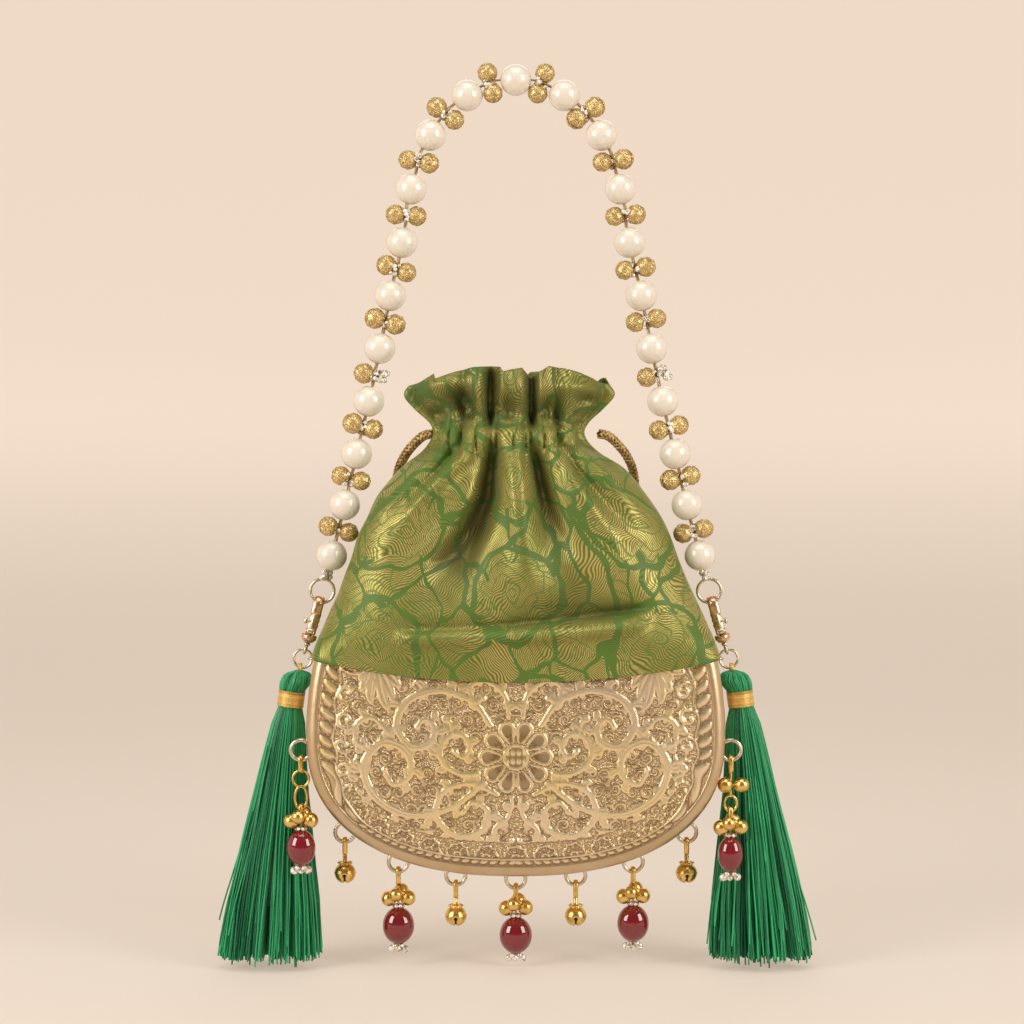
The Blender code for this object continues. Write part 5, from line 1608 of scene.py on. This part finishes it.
def frill_height(x, z, facing):
    """The frill's three rolled lobes, their deep gaps and the hollow inside each."""
    if facing > 0:
        x = -x * 0.96 - 3.0
    height = np.zeros_like(x)
    for low, high, rise in ((-52.0, -12.3, 5.5), (-12.3, 8.0, 5.0), (8.0, 46.0, 5.5)):
        share = np.clip((x - low) / (high - low), 0, 1)
        roll = np.sqrt(np.clip(1 - (2 * share - 1) ** 2, 0, 1)) * (x > low) * (x < high)
        height += rise * (roll - 0.6)
    for middle in (-12.3, 8.0):
        height -= 6.5 * np.exp(-(np.abs((x - middle) / 1.5) ** 1.5)) * eased(z, -129, -134)
    for px, pz, wide, tall, deep in (
        (-26.0, -143.5, 7.0, 5.0, 8.0), (-21.0, -149.0, 3.0, 5.5, 4.0), (-2.6, -147.0, 3.6, 6.5, 4.6),
        (14.6, -147.0, 4.0, 4.6, 5.0), (21.0, -150.0, 2.2, 6.5, 4.0), (33.0, -143.0, 6.0, 2.6, 3.0),
        (-38.0, -149.0, 5.0, 2.0, 2.0),
    ):
        height -= deep * np.exp(-(((x - px) / wide) ** 2) - ((z - pz) / tall) ** 2)
    for px, pz, wide, tall, rise in (
        (-33.0, -135.5, 12.0, 3.5, 2.6), (-16.5, -139.0, 2.6, 9.0, 2.2), (26.0, -137.0, 12.0, 3.2, 2.6),
        (10.8, -139.0, 1.8, 8.0, 1.8), (-6.0, -137.0, 2.0, 6.0, 1.2), (3.0, -139.0, 2.4, 6.0, 1.2),
    ):
        height += rise * np.exp(-(((x - px) / wide) ** 2) - ((z - pz) / tall) ** 2)
    return height * eased(z, -157, -149)


def slump_height(x, z):
    """The loose roll of cloth across the front just above the hem, with a sharp hollow over it."""
    line = np.interp(x, (-60, -49, -30, -10, 20, 45, 56, 64), (-243, -245.2, -244.6, -244, -241.6, -238.4, -236.5, -234))
    across = eased(x, -54, -42) * eased(x, 62, 50)
    above = z - line
    hollow = -4.6 * np.exp(-np.abs(above - 1.6) / 2.6) * (above > -0.6)
    roll = 3.4 * np.exp(-(((above + 4.2) / 3.6) ** 2)) + 1.2 * eased(above, -14, -5) * (above < 0)
    deeper = 0.5 + 0.5 * eased(x, -22, 6)
    curl = 1.6 * np.exp(-(((x + 47) / 4) ** 2) - ((above + 1.5) / 2.4) ** 2)
    return across * (hollow * deeper + roll * (0.65 + 0.35 * deeper)) + curl


def section_at(z):
    table = np.array(POUCH_SECTIONS)
    return [np.interp(z, table[:, 0], table[:, column]) for column in range(1, 5)]


def smoothed_sections():
    """The sections resampled on a smooth curve, so that no kink shows between them."""
    return smooth_line(POUCH_SECTIONS, 160)


def pouch_points(turn, share, inward=0.0, hollow=False):
    """Points of the cloth. Turn goes round from the middle of the back; share goes from the hem to the frill's edge."""
    table = smoothed_sections()
    low_share = share < 0.72
    across, deep = np.cos(turn), np.sin(turn)
    front = deep < 0
    x_guess = 45.0 * across - 3.0
    edge_x, edge_z = np.array(FRILL_EDGE).T
    top = np.interp(np.where(front, x_guess, -x_guess * 0.95 - 2.0), edge_x, edge_z)
    top = np.where(front, top, top - 1.6)
    power = 11.0
    size = (np.abs(across) ** power + np.abs(deep) ** power) ** (-1 / power)
    hem = HEM_SIDE - HEM_SAG * np.clip(1 - (across * size) ** 2, 0, 1) * np.where(front, 1.0, 0.9)
    neck = -153.5
    z = np.where(low_share, hem + (neck - hem) * share / 0.72, neck + (top - neck) * (share - 0.72) / 0.28)
    half_width, half_depth, power, shift = (np.interp(z, table[:, 0], table[:, column]) for column in range(1, 5))
    size = (np.abs(across) ** power + np.abs(deep) ** power) ** (-1 / power)
    x, y = half_width * across * size, half_depth * deep * size
    out = np.stack((across / half_width, deep / half_depth))
    out /= np.linalg.norm(out, axis=0)
    facing_front = eased(-deep, 0.02, 0.35)
    facing_back = eased(deep, 0.02, 0.35)
    at = x + shift
    height = facing_front * (fold_height(at, z, -1) + frill_height(at, z, -1) + slump_height(at, z))
    height += facing_back * (fold_height(at, z, 1) + frill_height(at, z, 1))
    ripple = 0.35 * np.sin(at * 0.21 + z * 0.13) * np.sin(z * 0.17 - at * 0.05) * eased(z, -262, -240)
    height = np.clip(height + ripple, -12.5, 6.0) - inward
    limit = eased(z, -264, -246)
    height = np.where(z < -246, height * limit + (height < 0) * 0, height)
    points = np.stack((x + shift + out[0] * height * 0.75, y + out[1] * height, z), -1)
    # With hollow, it also gives how deep each point lies in a fold; the brocade is painted darker there as painted
    # shade.
    return (points, np.clip(-height / 9.0, 0, 1)) if hollow else points


def cloth_widths(points):
    """For each point, how far it lies along its row of cloth from the front's middle."""
    steps = np.linalg.norm(np.diff(points, axis=1), axis=2)
    run = np.concatenate((np.zeros((len(points), 1)), np.cumsum(steps, axis=1)), axis=1)
    middle = points.shape[1] // 2
    return run - run[:, middle : middle + 1]


def make_pouch(brocade):
    around, rows, inside = 420, 146, 20
    turns = pi / 2 + 2 * pi * np.arange(around + 1) / around
    # Angles bunch towards the front and back, where the folds are.
    turns = turns + 0.10 * np.sin(2 * (turns - pi / 2))
    share = np.concatenate((np.linspace(0, 0.72, 112, endpoint=False), np.linspace(0.72, 1.0, rows - 112)))
    turn_grid, share_grid = np.meshgrid(turns, share)
    outer, hollow = pouch_points(turn_grid, share_grid, hollow=True)
    back_share = np.linspace(0.995, 0.66, inside)
    turn_grid, share_in = np.meshgrid(turns, back_share)
    inner = pouch_points(turn_grid, share_in, inward=CLOTH)
    under = outer[:1] + (0.0, 0.0, 0.0)
    turn_grid, share_low = np.meshgrid(turns, np.array([0.05, 0.0]))
    hem_fold = pouch_points(turn_grid, share_low, inward=CLOTH * 0.9)
    hem_fold[1, :, 2] -= 0.15
    grid = np.concatenate((hem_fold, under, outer[1:], inner))
    heights = np.concatenate(([0.0], np.cumsum(np.linalg.norm(np.diff(grid, axis=0), axis=2).mean(1))))
    widths = cloth_widths(grid)
    points = grid.reshape(-1, 3)
    faces = grid_faces(len(grid), around + 1)
    # The inside face of the cloth takes a fixed painted shade.
    inside_painted_shade = np.full((inside, around + 1), 0.75)
    shape = Shape().add(points, faces, np.concatenate((hollow[:3] * 0, hollow[1:], inside_painted_shade)).ravel())
    mesh = shape.mesh("pouch", "hollow")
    uv = mesh.uv_layers.new(name="cloth")
    loops = np.empty(len(mesh.loops), np.int32)
    mesh.loops.foreach_get("vertex_index", loops)
    flat = np.column_stack((widths.ravel(), np.repeat(heights, around + 1)))[loops] * 0.01
    uv.data.foreach_set("uv", flat.astype(np.float32).ravel())
    welded = bmesh.new()
    welded.from_mesh(mesh)
    bmesh.ops.remove_doubles(welded, verts=welded.verts, dist=1e-6)
    welded.to_mesh(mesh)
    welded.free()
    mesh.shade_smooth()
    made = piece("brocade_pouch", mesh, brocade, "bag", ["pouch"])


def brocade_finish():
    """Green and gold brocade: leaves, whorled flowers and herringbone veins in gold thread on green satin."""
    finish = Finish("green_gold_brocade", {"Specular IOR Level": 0.4, "Sheen Weight": 0.3, "Sheen Roughness": 0.35})
    finish.shader.inputs["Sheen Tint"].default_value = (0.85, 0.85, 0.45, 1.0)
    uv = finish.node("ShaderNodeUVMap", {"uv_map": "cloth"})
    u, v, _ = finish.split(uv)
    u, v = u * 100, v * 100
    sway = finish.noise(3.2, 2, vector=uv)
    shifted = finish.node("ShaderNodeVectorMath", {"operation": "ADD"}, {0: uv, 1: (3.7, 1.9, 0.0)})
    sway_v = finish.noise(3.2, 2, vector=shifted)
    u = u + (sway - 0.5) * 26
    v = v + (sway_v - 0.5) * 26
    leaf_place = finish.node("ShaderNodeCombineXYZ", inputs={0: u, 1: v * 0.72})
    edge = finish.cells(0.058, "DISTANCE_TO_EDGE", vector=leaf_place, randomness=0.9)
    centre = finish.cells(0.058, output="Position", vector=leaf_place, randomness=0.9)
    chance = finish.cells(0.058, output="Color", vector=leaf_place, randomness=0.9)
    pick, pick_two, _ = finish.split(chance)
    offset = finish.node("ShaderNodeVectorMath", {"operation": "SUBTRACT"}, {0: leaf_place, 1: centre})
    along, across, _ = finish.split(offset)
    angle = pick * 6.28
    turned_along = along * angle.math("COSINE") + across * angle.sin()
    turned_across = across * angle.math("COSINE") - along * angle.sin()
    spine = turned_across + turned_along * turned_along * 0.035
    vein = (turned_along + spine.abs() * 0.9).wrapped(3.4).abs()
    leaf = edge.rise(0.03, 0.055) * (pick_two.rise(0.02, 0.03))
    lines = (vein.rise(0.20, 0.42)).least(spine.abs().rise(0.22, 0.45))
    veined = leaf * (1 - (1 - lines) * pick.rise(0.30, 0.34) * 0.6)

    column = (u / 62 + 0.5).math("FLOOR")
    drop = column.math("FLOORED_MODULO", 2.0) * 27
    a, b = u.wrapped(62.0), (v + drop + 6).wrapped(54.0)
    radius = (a * a + b * b).math("SQRT")
    turn = b.math("ARCTAN2", a)
    lobed = (turn * 7 + radius * 0.32).sin() * 2.0 + 16.5
    inside = (lobed - radius).rise(-0.1, 0.2)
    rim = (radius - lobed).abs().rise(0.55, 0.95)
    whorl = (turn * 2 - radius * 0.55).sin().abs().rise(0.14, 0.24).most(radius.rise(5.5, 4.8))
    petals = (turn * 9 + radius * 0.7).sin().abs().rise(0.10, 0.22).most((radius - 9.5).rise(0.4, 0.0))
    eye = (radius - 4.3).abs().rise(0.35, 0.7).least((radius - 2.0).abs().rise(0.25, 0.5))
    halo = (radius - 20.3).abs().rise(1.0, 1.5)
    figure = 1 - (1 - rim * whorl * petals * eye) * 0.7
    motif = (veined * halo) * (1 - inside) + figure * inside

    slant = (u * 4.4 + v * 4.4).sin() * 0.5 + 0.5
    counter = (u * 4.4 - v * 4.4).sin() * 0.5 + 0.5
    choice = pick_two.rise(0.5, 0.52)
    hatch = slant * choice + counter * (1 - choice)
    satin = (v * 9.5).sin() * 0.5 + 0.5
    tone = finish.noise(2.2, 3, vector=uv)
    fibre = finish.noise(90.0, 3, vector=uv)
    gold = finish.blend(hatch, (0.12, 0.115, 0.018), (0.60, 0.49, 0.16))
    gold = finish.blend(tone.rise(0.36, 0.62) * 0.6, gold, (0.17, 0.19, 0.028))
    green = finish.blend(satin, (0.05, 0.105, 0.010), (0.105, 0.185, 0.022))
    colour = finish.blend(motif * (0.86 + fibre * 0.14), green, gold)
    colour = finish.blend(fibre.rise(0.55, 0.8) * 0.22, colour, (0.10, 0.12, 0.02))
    # The cloth is painted darker where it lies deep in a fold and on its inside face: painted shade.
    finish.feed("Base Color", finish.blend(finish.attribute("hollow") * 0.62, colour, (0.035, 0.04, 0.008)))
    finish.feed("Metallic", motif * 0.55)
    finish.feed("Roughness", 0.46 - motif * 0.08 + fibre * 0.1)
    finish.bump(motif * 0.55 + hatch * motif * 0.4 + satin * 0.12 + fibre * 0.3, 0.16, 0.85)
    return finish.material


LINING_SECTIONS = [
    (-347.0, 40.0, 21.0, 4.0), (-340.0, 58.0, 21.4, 4.0), (-325.0, 77.0, 21.6, 4.0),
    (-300.0, 86.0, 21.6, 4.0), (-262.0, 83.0, 19.0, 4.0), (-230.5, 73.0, 12.0, 3.0), (-197.0, 56.0, 7.5, 2.3),
    (-178.0, 38.0, 4.5, 2.1),
]


def make_lining(cloth):
    """The inner bag, with soft upright creases."""
    around = 120
    table = smooth_line(LINING_SECTIONS, 60)
    turns = 2 * pi * np.arange(around) / around
    rows = []
    for z, wide, deep, power in table:
        across, depth = np.cos(turns), np.sin(turns)
        size = (np.abs(across) ** power + np.abs(depth) ** power) ** (-1 / power)
        crease = 1 - 0.03 * (0.5 + 0.5 * np.sin(turns * 17 + 0.02 * z)) * eased(z, -350, -300)
        rows.append(np.column_stack((wide * across * size * crease, deep * depth * size * crease, 0 * turns + z)))
    faces = grid_faces(len(rows), around, closed=True)
    mesh = Shape().add(np.concatenate(rows), faces).mesh("lining")
    made = piece("lining_bag", mesh, cloth, "bag", ["lining"])


# ---------------------------------------------------------------- drawcords

DRAWCORD_ROUTE = [
    (37.6, 1.0, -158.2), (41.2, 2.6, -158.9), (45.4, 5.4, -162.2), (50.2, 9.6, -168.0), (53.6, 15.0, -175.4),
    (54.6, 20.6, -184.4), (53.4, 25.2, -194.6), (51.0, 28.2, -206.0), (48.8, 29.8, -218.0), (47.4, 30.8, -231.0),
    (46.6, 31.6, -244.0), (46.2, 32.2, -257.0), (46.0, 32.4, -266.0),
]
DRAWCORD_POINTS, DRAWCORD_ACROSS = 27, 4.5


def make_drawcords(braid):
    """Round braids of eight plies, four each way, with a knot at the lower end."""
    for label, side in SIDES:
        route = np.array(DRAWCORD_ROUTE) * (side, 1, 1)
        path = smooth_line(route, DRAWCORD_POINTS)
        line = smooth_line(route, 330)
        length = np.concatenate(([0.0], np.cumsum(np.linalg.norm(np.diff(line, axis=0), axis=1))))
        way = np.gradient(line, axis=0)
        way /= np.linalg.norm(way, axis=1)[:, None]
        first = unit(np.cross(way[0], (0, 1, 0)))
        frames = []
        for step in way:
            first = unit(first - step * (step @ first))
            frames.append((first, np.cross(step, first)))
        flat, deep = np.array([f[0] for f in frames]), np.array([f[1] for f in frames])
        braid_shape = Shape()
        pitch = 8.5
        for hand in (1, -1):
            for ply in range(4):
                turn = hand * length * 2 * pi / pitch + ply * pi / 2 + (0.39 if hand < 0 else 0.0)
                weave = 1.42 + 0.24 * hand * np.cos(length * 8 * pi / pitch)
                swell = 1 + 0.75 * np.exp(-(((length - length[-1] + 3.0) / 2.4) ** 2))
                strand = line + (flat * np.cos(turn)[:, None] + deep * np.sin(turn)[:, None]) * (weave * swell)[:, None]
                # Each ply has its own tone, which also darkens where the ply dips under the others: painted shade in
                # the braid.
                tone = 0.25 + 0.16 * ply + 0.2 * (hand > 0) + 0.25 * np.cos(length * 8 * pi / pitch) * hand
                thick = wire(strand, 0.66 * swell**0.5, 7)
                tone = np.concatenate((tone[:1].repeat(3), tone, tone[-1:].repeat(3)))
                braid_shape.add(thick.points[0], thick.faces[0], np.repeat(np.clip(tone, 0, 1), 7))
        cord = piece(
            f"drawcord_{label}_braid", braid_shape.mesh("braid", "thread_tone"), braid, "bag", [f"drawcord_{label}"]
        )
        metres = path * MM


# ---------------------------------------------------------------- assembly

SCATTER = scatter_tree()
STRANDS = strand_tree()
shared_random = np.random.default_rng(7)

make_camera()
make_drawcords(braid_finish())
make_lights()
make_backdrop()
shell_gold = shell_gold_finish()
make_panel("shell_front", -1, shell_gold)
make_panel("shell_back", 1, shell_gold)
make_band(band_gold_finish(), metal_finish("champagne_solder_ring", **CHAMPAGNE))
make_pouch(brocade_finish())
make_lining(lining_finish())
make_handle(shared_random)
make_rings()
make_clasps()
make_charms(shared_random)
make_tassels(shared_random)
